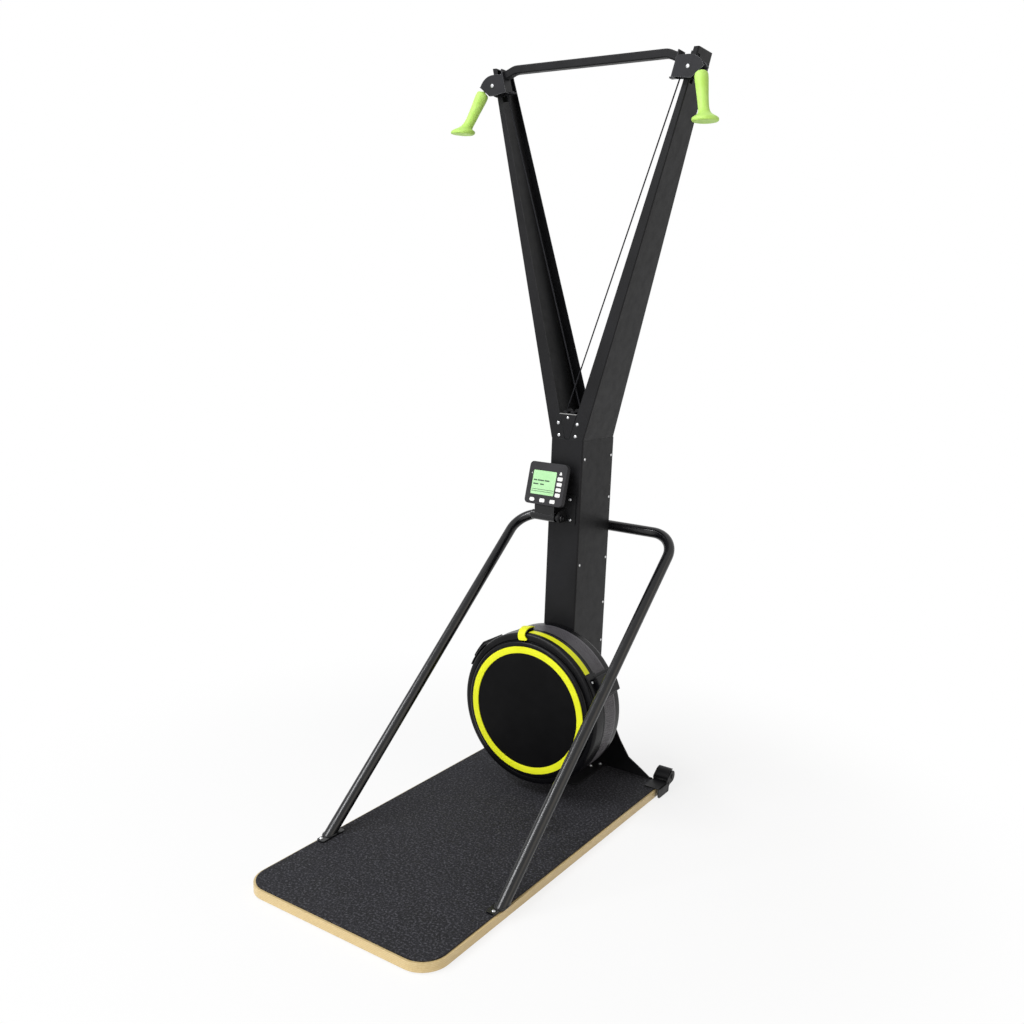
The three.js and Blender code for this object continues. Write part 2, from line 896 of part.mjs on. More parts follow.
// Crossbar: square tube whose ends bend down to the brackets' webs
const webFoot = new THREE.Vector2(pulleySpread - bracketBottomReach, pulleyHeight - bracketBottomDrop);
const webLean = Math.atan2(bracketBottomReach - bracketTopReach, bracketTopRise + bracketBottomDrop);

function webInner(height) {
  return webFoot.x + (height - webFoot.y) * Math.tan(webLean);
}

function crossbar() {
  const half = barSection / 2;
  const middle = armTopHeight - half;
  const front = cordPlane - barAhead;
  const back = front + half;
  const straight = pulleySpread - barStraightReach;
  const out = webInner(middle) + barSection;
  const drop = (out - straight) * Math.tan(THREE.MathUtils.degToRad(barDroopAngle));
  const corners = [
    new THREE.Vector3(-out, back, middle - drop),
    new THREE.Vector3(-straight, back, middle),
    new THREE.Vector3(straight, back, middle),
    new THREE.Vector3(out, back, middle - drop),
  ];
  const route = filletedRoute(corners, barBend, 3);
  const outer = sweep(rectangle(-half, -half, half, half, barWall, 1), route);
  const hollow = half - barWall;
  const bore = sweep(rectangle(-hollow, -hollow, hollow, hollow), route);
  const trims = [1, -1].map((side) => {
    const high = armRise / 2;
    const trim = block(-fit, 2 * barSection, front - overrun, front + barSection + overrun, -high, high);
    trim.rotateY(webLean).translate(webFoot.x, 0, webFoot.y);
    return side > 0 ? trim : trim.scale(-1, 1, 1);
  });
  return cut(outer, bore, ...trims);
}

place('crossbar', crossbar(), black());

// Pulley brackets: front plate, leaning web, back plate, hook and the spacer round the pin
function bracketShape(side) {
  const heel = pulleySpread + bracketHeelReach;
  const heelHeight = pulleyHeight - bracketHeelDrop + side;
  const tip = pulleySpread + bracketTipReach;
  const points = [
    webFoot.clone(),
    new THREE.Vector2(heel - spacerRadius, heelHeight),
    new THREE.Vector2(heel, heelHeight),
    new THREE.Vector2(tip - side, pulleyHeight),
  ];
  const centre = new THREE.Vector2(tip - bracketArc, pulleyHeight + bracketTopRise - bracketArc);
  const radius = bracketArc - side;
  const start = Math.asin((pulleyHeight - centre.y) / radius);
  for (let k = 0; k <= 6; k += 1) {
    const angle = THREE.MathUtils.lerp(start, Math.PI / 2, k / 6);
    points.push(new THREE.Vector2(centre.x + radius * Math.cos(angle), centre.y + radius * Math.sin(angle)));
  }
  points.push(new THREE.Vector2(webInner(centre.y + radius), centre.y + radius));
  return new THREE.Shape(points);
}

function pulleyBracket() {
  const face = cordPlane - bracketAhead;
  const front = frontPlate(bracketShape(0), face, face + bracketThick);
  const back = frontPlate(bracketShape(bracketThick), bracketBackFace - bracketThick, bracketBackFace);
  const webLength = (bracketBottomDrop + webRise) / Math.cos(webLean);
  const web = block(0, bracketThick, face, bracketBackFace, 0, webLength);
  web.rotateY(webLean).translate(webFoot.x, 0, webFoot.y);
  const hookFront = bracketBackFace - bracketThick - hookDepth;
  const hook = block(-hookDepth, bracketThick, hookFront, bracketBackFace, 0, hookThick);
  hook.translate(webFoot.x, 0, webFoot.y);
  const spacerBack = armAt(pulleyHeight - spacerRadius).front - fit;
  const spacer = rodAlongY(spacerRadius, face + bracketThick / 2, spacerBack, 16);
  const hole = rodAlongY(pinRadius + fit, face - overrun, bracketBackFace + overrun, 16);
  return cut(
    join(front, back, web, hook, spacer.translate(pulleySpread, 0, pulleyHeight)),
    hole.translate(pulleySpread, 0, pulleyHeight),
  );
}

function pulleyPin() {
  const front = cordPlane - bracketAhead - fit;
  const back = bracketBackFace + fit;
  const profile = [
    [0, front - pinHead],
    [pinHeadRadius - pinHead / 2, front - pinHead],
    [pinHeadRadius, front - pinHead / 2],
    [pinHeadRadius, front],
    [pinRadius, front],
    [pinRadius, back],
    [pinHeadRadius, back],
    [pinHeadRadius, back + pinHead],
    [0, back + pinHead],
  ];
  return revolve(profile, 12).translate(pulleySpread, 0, pulleyHeight);
}

placePair('pulley_bracket', pulleyBracket(), satin);
placePair('pulley_pin', pulleyPin(), steel);

// Pulleys: a groove for the cord, a thin web and a hub
function grooveProfile(cordRadius, rimDrop, width) {
  const half = width / 2;
  const outer = cordRadius - rimDrop;
  const seat = cordDiameter / 2 + fit;
  const quarterTurn = 90;
  const open = THREE.MathUtils.radToDeg(Math.asin(rimDrop / seat));
  return [
    [outer, -half],
    ...profileArc(cordRadius, 0, seat, 3 * quarterTurn - open, quarterTurn + open, 3),
    [outer, half],
  ];
}

function topPulley() {
  const bore = pinRadius + fit;
  const half = pulleyWidth / 2;
  const web = pulleyWebThick / 2;
  const recess = pulleyCordRadius - pulleyRim;
  const wheel = revolveHollow([
    [bore, -half],
    [pulleyHub, -half],
    [pulleyHub, -web],
    [recess, -web],
    [recess, -half],
    ...grooveProfile(pulleyCordRadius, pulleyRimDrop, pulleyWidth),
    [recess, half],
    [recess, web],
    [pulleyHub, web],
    [pulleyHub, half],
    [bore, half],
  ], 14);
  return wheel.translate(pulleySpread, cordPlane, pulleyHeight);
}

function guidePulley(side) {
  const bore = guideStudRadius + fit;
  const half = guideWidth / 2;
  const groove = grooveProfile(guideCordRadius, 0, guideWidth);
  const wheel = revolveHollow([[bore, -half], ...groove, [bore, half]], 14);
  return wheel.translate(side * guideSpread, cordPlane + side * cordCrossing, guideHeight);
}

placePair('top_pulley', topPulley(), plastic);
place('guide_pulley_left', guidePulley(-1), plastic());
place('guide_pulley_right', guidePulley(1), plastic());

// Spools on the drive shaft; both cords leave on the same side, so both turn the same way
function spoolMiddle(side) {
  const first = columnFront + spoolBehindFront;
  return side > 0 ? first : first + spoolPitch;
}

function cordSpool(side) {
  const bore = shaftRadius + fit;
  const core = spoolCordRadius - cordDiameter / 2 - fit;
  const flange = spoolCordRadius + spoolFlange;
  const half = spoolWidth / 2;
  const land = half - spoolFlangeThick;
  const profile = [
    [bore, -half],
    [flange, -half],
    [flange, -land],
    [core, -land],
    [core, land],
    [flange, land],
    [flange, half],
    [bore, half],
  ];
  return revolveHollow(profile, 14).translate(0, spoolMiddle(side), drumHeight);
}

place('cord_spool_right', cordSpool(1), greySteel());
place('cord_spool_left', cordSpool(-1), greySteel());

// Cord route of one side: spool, guide pulley on the far side of the V, top pulley
// A wheel is { x, z, radius, hand }, with hand 1 where the rising cord passes on its left.
function runAngle(low, high) {
  const across = Math.hypot(high.x - low.x, high.z - low.z);
  const line = Math.atan2(high.z - low.z, high.x - low.x);
  return line + Math.asin((high.hand * high.radius - low.hand * low.radius) / across);
}

function touch(wheel, angle, depth) {
  const reach = wheel.hand * wheel.radius;
  return new THREE.Vector3(wheel.x - reach * Math.sin(angle), depth, wheel.z + reach * Math.cos(angle));
}

function wrap(wheel, from, to, depth, steps) {
  const points = [];
  for (let k = 0; k <= steps; k += 1) {
    points.push(touch(wheel, THREE.MathUtils.lerp(from, to, k / steps), depth));
  }
  return points;
}

const straightDown = new THREE.Vector3(0, 0, -1);

function cordRun(side) {
  const spool = { x: 0, z: drumHeight, radius: spoolCordRadius, hand: -1 };
  const guide = { x: -side * guideSpread, z: guideHeight, radius: guideCordRadius, hand: side };
  const top = { x: side * pulleySpread, z: pulleyHeight, radius: pulleyCordRadius, hand: side };
  const guideDepth = cordPlane - side * cordCrossing;
  const lowAngle = runAngle(spool, guide);
  const highAngle = runAngle(guide, top);
  const down = side > 0 ? -Math.PI / 2 : (3 * Math.PI) / 2;
  const route = [
    touch(spool, lowAngle, spoolMiddle(side)),
    ...wrap(guide, lowAngle, highAngle, guideDepth, 3),
    ...wrap(top, highAngle, down, cordPlane, 14),
  ];
  return sweep(polygonSection(cordDiameter / 2, 8), route, undefined, straightDown);
}

place('cord_run_right', cordRun(1), cordFinish());
place('cord_run_left', cordRun(-1), cordFinish());

// Handles: a waisted grip with a round shoulder and a flared end disc
const handleTop = new THREE.Vector3(
  pulleySpread + handleTopReach,
  cordPlane - handleTopAhead,
  pulleyHeight - handleTopDrop,
);
const handleRun = new THREE.Vector3(handleOut, -handleAhead, -handleFall);
const handleAxis = handleRun.clone().normalize();
const handleLength = handleRun.length();

function handle() {
  const shoulderShare = 0.98;
  const waistShares = [0.3, 0.68];
  const neckShare = 1.08;
  const flareShare = 0.62;
  const discEdgeShares = [[1, 0.55], [0.96, 0.25], [0.7, 0.06]];
  const discTop = handleLength - discThick;
  const [edge, bevel, face] = discEdgeShares.map(([out, deep]) =>
    new THREE.Vector2(discRadius * out, handleLength - discThick * deep));
  const spline = new THREE.SplineCurve([
    new THREE.Vector2(gripTopRadius, gripTopRadius),
    new THREE.Vector2(gripTopRadius * shoulderShare, handleLength * waistShares[0]),
    new THREE.Vector2(gripWaistRadius, handleLength * waistShares[1]),
    new THREE.Vector2(gripWaistRadius * neckShare, discTop - discThick),
    new THREE.Vector2(discRadius * flareShare, discTop),
    edge,
  ]);
  const side = spline.getPoints(8).map((p) => [p.x, p.y]);
  const shoulder = profileArc(gripCollar, gripTopRadius, gripTopRadius - gripCollar, -90, 0, 3);
  const profile = [
    [0, 0],
    [gripCollar, 0],
    [gripCollar, gripCollar],
    ...shoulder.slice(1, -1),
    ...side,
    [bevel.x, bevel.y],
    [face.x, face.y],
    [0, handleLength],
  ];
  const turned = revolve(profile, 14);
  const turn = new THREE.Quaternion().setFromUnitVectors(new THREE.Vector3(0, 1, 0), handleAxis);
  return turned.applyQuaternion(turn).translate(handleTop.x, handleTop.y, handleTop.z);
}

// The stub of free cord between the top pulley and the handle.
function freeCord() {
  const start = new THREE.Vector3(pulleySpread + pulleyCordRadius, cordPlane, pulleyHeight - fit);
  const end = handleTop.clone().addScaledVector(handleAxis, -fit);
  const drop = start.z - end.z;
  const straightShare = 0.75;
  const bend = new THREE.CubicBezierCurve3(
    start,
    start.clone().addScaledVector(straightDown, drop * straightShare),
    end.clone().addScaledVector(handleAxis, drop * (straightShare - 1)),
    end,
  );
  return sweep(polygonSection(cordDiameter / 2, 8), bend.getPoints(5), straightDown, handleAxis);
}

placePair('handle', handle(), lime);
placePair('free_cord', freeCord(), cordFinish);

// Rail: bent tube behind the column with a saddle plate and welded feet
function railTube() {
  const barBack = gussetFront + railRadius;
  const footZ = footBottom;
  const corners = [
    new THREE.Vector3(-railFootSpread, railFootBack, footZ),
    new THREE.Vector3(-railTopSpread, barBack, railTopHeight),
    new THREE.Vector3(railTopSpread, barBack, railTopHeight),
    new THREE.Vector3(railFootSpread, railFootBack, footZ),
  ];
  const rise = corners[1].clone().sub(corners[0]).normalize();
  const sink = rise.clone().multiplyScalar(2 * railRadius);
  corners[0].sub(sink);
  sink.x = -sink.x;
  corners[3].sub(sink);
  const tube = sweep(polygonSection(railRadius, 12), filletedRoute(corners, railBend, 4));
  const side = railFootSpread + 2 * railRadius;
  const reach = 2 * railFootHalfLength;
  const below = block(-side, side, railFootBack - reach, railFootBack + reach, footZ - 4 * railRadius, footZ);
  const feet = [-railFootSpread, railFootSpread].map((middle) => {
    const shape = rectangle(
      Math.max(middle - railFootHalfWidth, matInset - platformWidth / 2),
      railFootBack - railFootHalfLength,
      Math.min(middle + railFootHalfWidth, platformWidth / 2 - matInset),
      railFootBack + railFootHalfLength,
      railFootHalfWidth / 3,
    );
    return slab(shape, footZ, footZ + railFootThick);
  });
  const saddle = frontPlate(
    rectangle(
      -saddleHalfWidth,
      railTopHeight - saddleHalfHeight,
      saddleHalfWidth,
      railTopHeight + saddleHalfHeight,
      saddleThick,
    ),
    gussetFront,
    gussetFront + saddleThick,
  );
  return join(cut(tube, below), saddle, ...feet);
}

place('rail_tube', railTube(), black());

// Drum covers
const housingBack = columnFront - fit;
const faceBack = drumFace + coverWall + ringThick;
const ringSeat = drumFace - ringProud + ringThick + fit;

function frontCover() {
  const profile = [
    [0, drumFace],
    [ringInner - fit, drumFace],
    [ringInner - fit, ringSeat],
    [ringOuter + fit, ringSeat],
    [ringOuter + fit, drumFace],
    ...profileArc(faceRadius - faceFillet, drumFace + faceFillet, faceFillet, -90, 0, 2),
    [faceRadius, rimStep - coverWall],
    [faceRadius + coverWall, rimStep],
    ...profileArc(rimRadius - rimFillet, rimStep + rimFillet, rimFillet, -90, 0, 2),
    [rimRadius, coverBack],
    [rimRadius - coverWall, coverBack],
    [rimRadius - coverWall, rimStep + rimFillet],
    [rimRadius - rimFillet, rimStep + coverWall],
    [faceRadius - coverWall, rimStep + coverWall],
    [faceRadius - faceFillet, faceBack],
    [0, faceBack],
  ];
  const shell = revolve(profile, bandWindows).translate(0, 0, drumHeight);
  const stemHalf = arcDegrees(stemWidth / 2 + 2 * fit, rimRadius);
  const notchSteps = 9;
  const notch = arcBlock(
    rimRadius - 2 * coverWall,
    rimRadius + coverWall,
    damperAngle - damperTravelAngle - stemHalf,
    damperAngle + stemHalf,
    coverBack - stemThick - 2 * fit,
    coverBack + overrun,
    damperTravelAngle / notchSteps,
  );
  return cut(shell, notch.translate(0, 0, drumHeight));
}

function accentRing() {
  const front = drumFace - ringProud;
  const back = front + ringThick;
  const ring = revolveHollow([[ringInner, front], [ringOuter, front], [ringOuter, back], [ringInner, back]], bandWindows);
  return ring.translate(0, 0, drumHeight);
}

// A perforated band, made as one ring of windows between two rims.
function meshBand() {
  const outer = rimRadius - bandSetback;
  const inner = outer - bandThick;
  const front = coverBack + fit;
  const back = bandBack - fit;
  const ring = revolveHollow([[inner, front], [outer, front], [outer, back], [inner, back]], bandWindows);
  const pitch = 360 / bandWindows;
  const barDegrees = arcDegrees(bandBar, outer);
  const windows = [];
  for (let i = 0; i < bandWindows; i += 1) {
    const from = i * pitch + barDegrees / 2;
    windows.push(arcBlock(inner - bandThick, outer + bandThick, from, from + pitch - barDegrees,
      front + bandRim, back - bandRim, pitch));
  }
  return cut(ring, ...windows).translate(0, 0, drumHeight);
}

// Rear housing: a dish with a ring of radial air slots round the shaft's opening.
function rearHousing() {
  const outer = rimRadius - bandSetback;
  const fillet = housingFillet;
  const shell = revolveHollow([
    [housingBore, housingBack],
    [housingBore, housingBack - housingWall],
    [outer - housingWall - fillet, housingBack - housingWall],
    [outer - housingWall, housingBack - housingWall - fillet / 2],
    [outer - housingWall, bandBack],
    [outer, bandBack],
    ...profileArc(outer - fillet, housingBack - fillet, fillet, 0, 90, 3),
  ], bandWindows);
  const slots = [];
  const pitch = 360 / intakeSlots;
  for (let i = 0; i < intakeSlots; i += 1) {
    const half = (radius) => THREE.MathUtils.degToRad(pitch) * radius / 2 - intakeRib / 2;
    const slot = roundedOutline([
      [intakeInner, -half(intakeInner)],
      [intakeOuter, -half(intakeOuter), intakeRib],
      [intakeOuter, half(intakeOuter), intakeRib],
      [intakeInner, half(intakeInner)],
    ], 1);
    const tool = frontPlate(slot, housingBack - housingWall - overrun, housingBack + overrun);
    slots.push(tool.rotateY(THREE.MathUtils.degToRad(pitch * i + pitch / 2)));
  }
  return cut(shell, ...slots).translate(0, 0, drumHeight);
}

place('front_cover', frontCover(), plastic());
place('accent_ring', accentRing(), yellow());
place('mesh_band', meshBand(), greySteel());
place('rear_housing', rearHousing(), plastic());

// Clips across the band, from the front cover to the rear housing
function drumClip(middle) {
  const edgeShare = 0.6;
  const softShare = 0.8;
  const bossShare = 0.55;
  const bossPlaceShare = 0.2;
  const inner = rimRadius + fit;
  const half = arcDegrees(clipWidth / 2, inner);
  const bossHalf = half * bossShare;
  const softHalf = half * softShare;
  const front = coverBack - clipOverCover;
  const back = bandBack + clipOverHousing;
  const bossFront = front + (back - front - clipBossLength) * bossPlaceShare;
  return join(
    arcBlock(inner, inner + clipThick * edgeShare, middle - half, middle + half, front, back),
    arcBlock(inner, inner + clipThick, middle - softHalf, middle + softHalf, front + fit, back - fit),
    arcBlock(inner, inner + clipThick + clipBoss, middle - bossHalf, middle + bossHalf,
      bossFront, bossFront + clipBossLength),
  ).translate(0, 0, drumHeight);
}

place('drum_clip_right', drumClip(rightClipAngle), plastic());
place('drum_clip_left', drumClip(leftClipAngle), plastic());

// Damper: lever over the rim, its stem through the arc slot and the shutter behind the band
function damperLever() {
  const gripShare = 0.8;
  const inner = rimRadius + scaleThick + 3 * fit;
  const outer = inner + leverThick;
  const half = arcDegrees(leverWidth / 2, inner);
  const gripHalf = half * gripShare;
  const stemHalf = arcDegrees(stemWidth / 2, rimRadius);
  const leverBack = coverBack + leverOverBand;
  const front = rimStep - fit - leverThick;
  const shutterInner = shutterRadius - shutterThick / 2;
  const shutterOuter = shutterRadius + shutterThick / 2;
  const stemFront = coverBack - stemThick - fit / 2;
  const stemBack = coverBack - fit / 2;
  const shutterStart = damperAngle - stemHalf;
  return join(
    arcBlock(leverFoot, outer, damperAngle - half, damperAngle + half, front, rimStep - fit),
    arcBlock(inner, outer, damperAngle - half, damperAngle + half, front, leverBack),
    arcBlock(inner, outer + leverGrip, damperAngle - gripHalf, damperAngle + gripHalf,
      leverBack - leverGripLength, leverBack - fit),
    arcBlock(shutterInner, inner + fit, damperAngle - stemHalf, damperAngle + stemHalf, stemFront, stemBack),
    arcBlock(shutterInner, shutterOuter, shutterStart, shutterStart + shutterAngle, stemFront, bandBack - bandRim),
  ).translate(0, 0, drumHeight);
}

function scaleStrip() {
  const inner = rimRadius + fit;
  const outer = inner + scaleThick;
  const front = drumFace + scaleSetback;
  const strip = arcBlock(inner, outer, scaleEndAngle, scaleStartAngle, front, front + scaleWidth, 5);
  return strip.translate(0, 0, drumHeight);
}

place('damper_lever', damperLever(), yellow());
place('scale_strip', scaleStrip(), yellow());

// Flywheel: a disc with a heavy inner wheel, a hub and a ring of swept blades
const fanFront = drumFace + fanSetback;
const fanBack = fanFront + fanWidth;

function bladeShape(turn) {
  const points = [];
  const steps = 3;
  const edge = (share, offset) => {
    const radius = THREE.MathUtils.lerp(fanBladeRoot, fanBladeTip, share);
    const angle = turn + THREE.MathUtils.degToRad(bladeSweepAngle) * share * share + offset / radius;
    return new THREE.Vector2(radius * Math.cos(angle), radius * Math.sin(angle));
  };
  for (let k = 0; k <= steps; k += 1) points.push(edge(k / steps, -bladeThick / 2));
  for (let k = steps; k >= 0; k -= 1) points.push(edge(k / steps, bladeThick / 2));
  return new THREE.Shape(points);
}

function flywheelFan() {
  const bore = shaftRadius + fit;
  const discFront = fanBack - fanDiscThick;
  const wheel = revolveHollow([
    [bore, fanFront],
    [hubRadius, fanFront],
    [hubRadius, discFront - wheelThick],
    [wheelRadius, discFront - wheelThick],
    [wheelRadius, discFront],
    [fanRadius, discFront],
    [fanRadius, fanBack],
    [bore, fanBack],
  ], 28);
  const blades = [];
  for (let i = 0; i < fanBlades; i += 1) {
    blades.push(frontPlate(bladeShape((2 * Math.PI * i) / fanBlades), fanFront, discFront + fanDiscThick / 2));
  }
  return join(wheel, ...blades).translate(0, 0, drumHeight);
}

function driveShaft() {
  const nutBack = fanFront - fit;
  const profile = [
    [0, nutBack - shaftNutThick],
    [shaftNut, nutBack - shaftNutThick],
    [shaftNut, nutBack],
    [shaftRadius, nutBack],
    [shaftRadius, rearBearing + bearingWidth],
    [0, rearBearing + bearingWidth],
  ];
  return revolve(profile, 14).translate(0, 0, drumHeight);
}

function bearing(front) {
  const bore = shaftRadius + fit;
  const back = front + bearingWidth;
  const innerLand = bore + bearingLand;
  const outerLand = bearingRadius - bearingLand;
  const profile = [
    [bore, front],
    [innerLand, front],
    [innerLand, front + bearingShield],
    [outerLand, front + bearingShield],
    [outerLand, front],
    [bearingRadius, front],
    [bearingRadius, back],
    [outerLand, back],
    [outerLand, back - bearingShield],
    [innerLand, back - bearingShield],
    [innerLand, back],
    [bore, back],
  ];
  return revolveHollow(profile, 12).translate(0, 0, drumHeight);
}

place('flywheel_fan', flywheelFan(), greySteel());
place('drive_shaft', driveShaft(), steel());
place('front_bearing', bearing(frontBearing - fit), steel());
place('rear_bearing', bearing(rearBearing + fit), steel());

// Monitor hinge: bracket on the column, pin, and the sleeve with its leaf
const hingeBack = columnFront - hingeAhead;
const hingeHeight = monitorBottom - hingeDrop;

function monitorBracket() {
  const roundShare = 0.95;
  const back = columnFront - fit;
  const front = back - bracketPlateThick;
  const low = hingeHeight - bracketPlateDrop;
  const high = hingeHeight + bracketPlateRise;
  const plate = frontPlate(rectangle(bracketPlateLeft, low, bracketPlateRight, high, earThick / 2), front, back);
  const ear = sidePlate(
    roundedOutline([
      [back, hingeHeight + 2 * earRadius],
      [hingeBack - earRadius, hingeHeight + earRadius, earRadius * roundShare],
      [hingeBack - earRadius, hingeHeight - earRadius, earRadius * roundShare],
      [back, hingeHeight - earRadius],
    ], 5),
    earLeft,
    earLeft + earThick,
  );
  const hole = alongX(new THREE.CylinderGeometry(hingePinRadius + fit, hingePinRadius + fit, 2 * earRadius, 20));
  return cut(join(plate, ear), hole.translate(earLeft, hingeBack, hingeHeight));
}

function monitorPin() {
  const left = sleeveLeft - fit;
  const right = earLeft + earThick + fit;
  const collarLeft = sleeveRight + fit;
  const collarRight = earLeft - fit;
  const profile = [
    [0, left - hingeHead],
    [hingeHeadRadius - hingeHead / 2, left - hingeHead],
    [hingeHeadRadius, left - hingeHead / 2],
    [hingeHeadRadius, left],
    [hingePinRadius, left],
    [hingePinRadius, collarLeft],
    [hingeHeadRadius, collarLeft],
    [hingeHeadRadius, collarRight],
    [hingePinRadius, collarRight],
    [hingePinRadius, right],
    [hingeHeadRadius, right],
    [hingeHeadRadius, right + hingeHead],
    [0, right + hingeHead],
  ];
  return alongX(revolve(profile, 10)).translate(0, hingeBack, hingeHeight);
}

const monitor = new THREE.Group();
const leanAngle = THREE.MathUtils.degToRad(monitorLeanAngle);
const monitorFront = columnFront - monitorAhead;
monitor.position.set(monitorMiddle, monitorFront, monitorBottom);
monitor.rotation.x = -leanAngle;
machine.add(monitor);

// The hinge axis in the monitor's own leaning frame.
const hingeLocal = new THREE.Vector3(0, hingeBack - monitorFront, hingeHeight - monitorBottom)
  .applyAxisAngle(new THREE.Vector3(1, 0, 0), leanAngle);

function monitorLeaf() {
  const sleeve = alongX(revolveHollow([
    [hingePinRadius + fit, sleeveLeft - monitorMiddle],
    [sleeveRadius, sleeveLeft - monitorMiddle],
    [sleeveRadius, sleeveRight - monitorMiddle],
    [hingePinRadius + fit, sleeveRight - monitorMiddle],
  ], 20)).translate(0, hingeLocal.y, hingeLocal.z);
  const front = monitorDepth + fit;
  const back = front + leafThick;
  const under = hingeLocal.z + sleeveRadius / 2;
  const reach = hingeLocal.y - sleeveRadius;
  const leaf = sidePlate(outline([
    [front, leafRise],
    [front, -leafThick],
    [reach, under - leafThick],
    [hingeLocal.y - hingePinRadius - leafThick, under],
    [reach + leafThick, under + leafThick],
    [back, 0],
    [back, leafRise],
  ]), leafLeft - monitorMiddle, sleeveRight - monitorMiddle);
  const boreLength = 2 * (sleeveRight - sleeveLeft);
  const bore = alongX(new THREE.CylinderGeometry(hingePinRadius + fit, hingePinRadius + fit, boreLength, 20));
  return cut(join(leaf, sleeve), bore.translate(0, hingeLocal.y, hingeLocal.z));
}

place('monitor_bracket', monitorBracket(), satin());
place('monitor_pin', monitorPin(), steel());
place('monitor_leaf', monitorLeaf(), plastic(), monitor);

// Monitor housing, window and keys, in the monitor's own frame: Y is depth, Z runs up the face
function keyPlaces() {
  const places = [];
  for (let i = 0; i < keyCount; i += 1) {
    places.push({ name: `side_button_${i + 1}`, x: keySide, z: keyTop - i * keyPitch, w: keyWidth, h: keyHeight });
  }
  const middle = (lowKeyCount - 1) / 2;
  for (let i = 0; i < lowKeyCount; i += 1) {
    const x = lowKeyMiddle + (i - middle) * lowKeyPitch;
    places.push({ name: `bottom_button_${i + 1}`, x, z: lowKeyHeight, w: lowKeyWidth, h: lowKeyTall });
  }
  return places;
}

function keyShape(key, growth) {
  const w = key.w / 2 + growth;
  const h = key.h / 2 + growth;
  return rectangle(key.x - w, key.z - h, key.x + w, key.z + h, keyCorner + growth, 1);
}

function faceShape(inset) {
  const side = monitorWidth / 2 - inset;
  return rectangle(-side, inset, side, monitorHeight - inset, bezelCorner - inset, 3);
}

function windowShape(growth) {
  const w = windowWidth / 2 + growth;
  const h = windowHeight / 2 + growth;
  return rectangle(windowSide - w, windowMiddle - h, windowSide + w, windowMiddle + h, windowCorner + growth, 2);
}

function monitorBezel() {
  const back = bezelThick;
  const face = join(
    frontPlate(faceShape(bezelEdge / 2), 0, back),
    frontPlate(faceShape(0), bezelEdge / 2, back),
  );
  const holes = keyPlaces().map((key) => frontPlate(keyShape(key, fit), -overrun, back + overrun));
  return cut(face, frontPlate(windowShape(fit), -overrun, back + overrun), ...holes);
}

function monitorBackShell() {
  const front = bezelThick + fit;
  const step = bezelEdge;
  const body = join(
    frontPlate(faceShape(0), front, monitorDepth - step),
    frontPlate(faceShape(step), front, monitorDepth),
  );
  const hollow = frontPlate(faceShape(monitorWall + step), front - overrun, monitorDepth - monitorWall);
  return cut(body, hollow);
}

function monitorLens() {
  return frontPlate(windowShape(0), lensSetback, lensSetback + lensThick);
}

function key(spot) {
  return join(
    frontPlate(keyShape(spot, 0), 0, keyDepth),
    frontPlate(keyShape(spot, -keyProud / 2), -keyProud, keyDepth),
  );
}

place('monitor_bezel', monitorBezel(), plastic(), monitor);
place('monitor_back_shell', monitorBackShell(), plastic(), monitor);
place('monitor_lens', monitorLens(), display(), monitor);
for (const spot of keyPlaces()) place(spot.name, key(spot), keyFinish(), monitor);

export default group;
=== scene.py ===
import math

import bmesh
import bpy
from mathutils import Matrix, Vector
from mathutils.geometry import tessellate_polygon


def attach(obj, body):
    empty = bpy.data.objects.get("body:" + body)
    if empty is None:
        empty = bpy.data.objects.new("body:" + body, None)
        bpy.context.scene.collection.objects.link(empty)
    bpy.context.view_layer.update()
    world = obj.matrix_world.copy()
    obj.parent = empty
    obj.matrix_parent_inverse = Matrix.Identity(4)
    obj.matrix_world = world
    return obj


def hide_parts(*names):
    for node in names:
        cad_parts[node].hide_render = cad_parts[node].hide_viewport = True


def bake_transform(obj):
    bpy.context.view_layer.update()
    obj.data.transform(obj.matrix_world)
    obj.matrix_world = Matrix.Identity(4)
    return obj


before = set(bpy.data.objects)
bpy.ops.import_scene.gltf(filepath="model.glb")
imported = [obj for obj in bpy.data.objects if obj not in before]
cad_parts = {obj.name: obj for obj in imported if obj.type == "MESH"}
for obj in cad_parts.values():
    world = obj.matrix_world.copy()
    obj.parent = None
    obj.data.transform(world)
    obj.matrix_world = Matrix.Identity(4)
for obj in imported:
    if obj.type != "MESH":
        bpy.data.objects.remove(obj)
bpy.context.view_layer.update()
print("frame loaded:", len(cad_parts), "nodes")

# Sizes are written in millimetres. Depths (y) are counted from the platform's front edge.
mmPerMetre = 1000
footprintMiddle = 597.5


def toPart(p):
    return Vector((p[0], p[1] - footprintMiddle, p[2])) / mmPerMetre


# Shapes: each maker returns (points, faces) in millimetres, and piece() turns them into an object.


def roundedCorners(corners, steps=6, closed=True):
    # A corner is (x, y) or (x, y, radius)
    points = []
    count = len(corners)
    for i, corner in enumerate(corners):
        here = Vector(corner[:2])
        radius = corner[2] if len(corner) > 2 else 0
        if radius == 0 or (not closed and i in (0, count - 1)):
            points.append(tuple(here))
            continue
        before = (Vector(corners[i - 1][:2]) - here).normalized()
        after = (Vector(corners[(i + 1) % count][:2]) - here).normalized()
        half = math.acos(max(-1, min(1, before.dot(after)))) / 2
        centre = here + (before + after).normalized() * (radius / math.sin(half))
        start = here + before * (radius / math.tan(half)) - centre
        end = here + after * (radius / math.tan(half)) - centre
        turn = math.atan2(start.x * end.y - start.y * end.x, start.dot(end))
        for k in range(steps + 1):
            angle = turn * k / steps
            c, s = math.cos(angle), math.sin(angle)
            points.append((centre.x + start.x * c - start.y * s, centre.y + start.x * s + start.y * c))
    return points


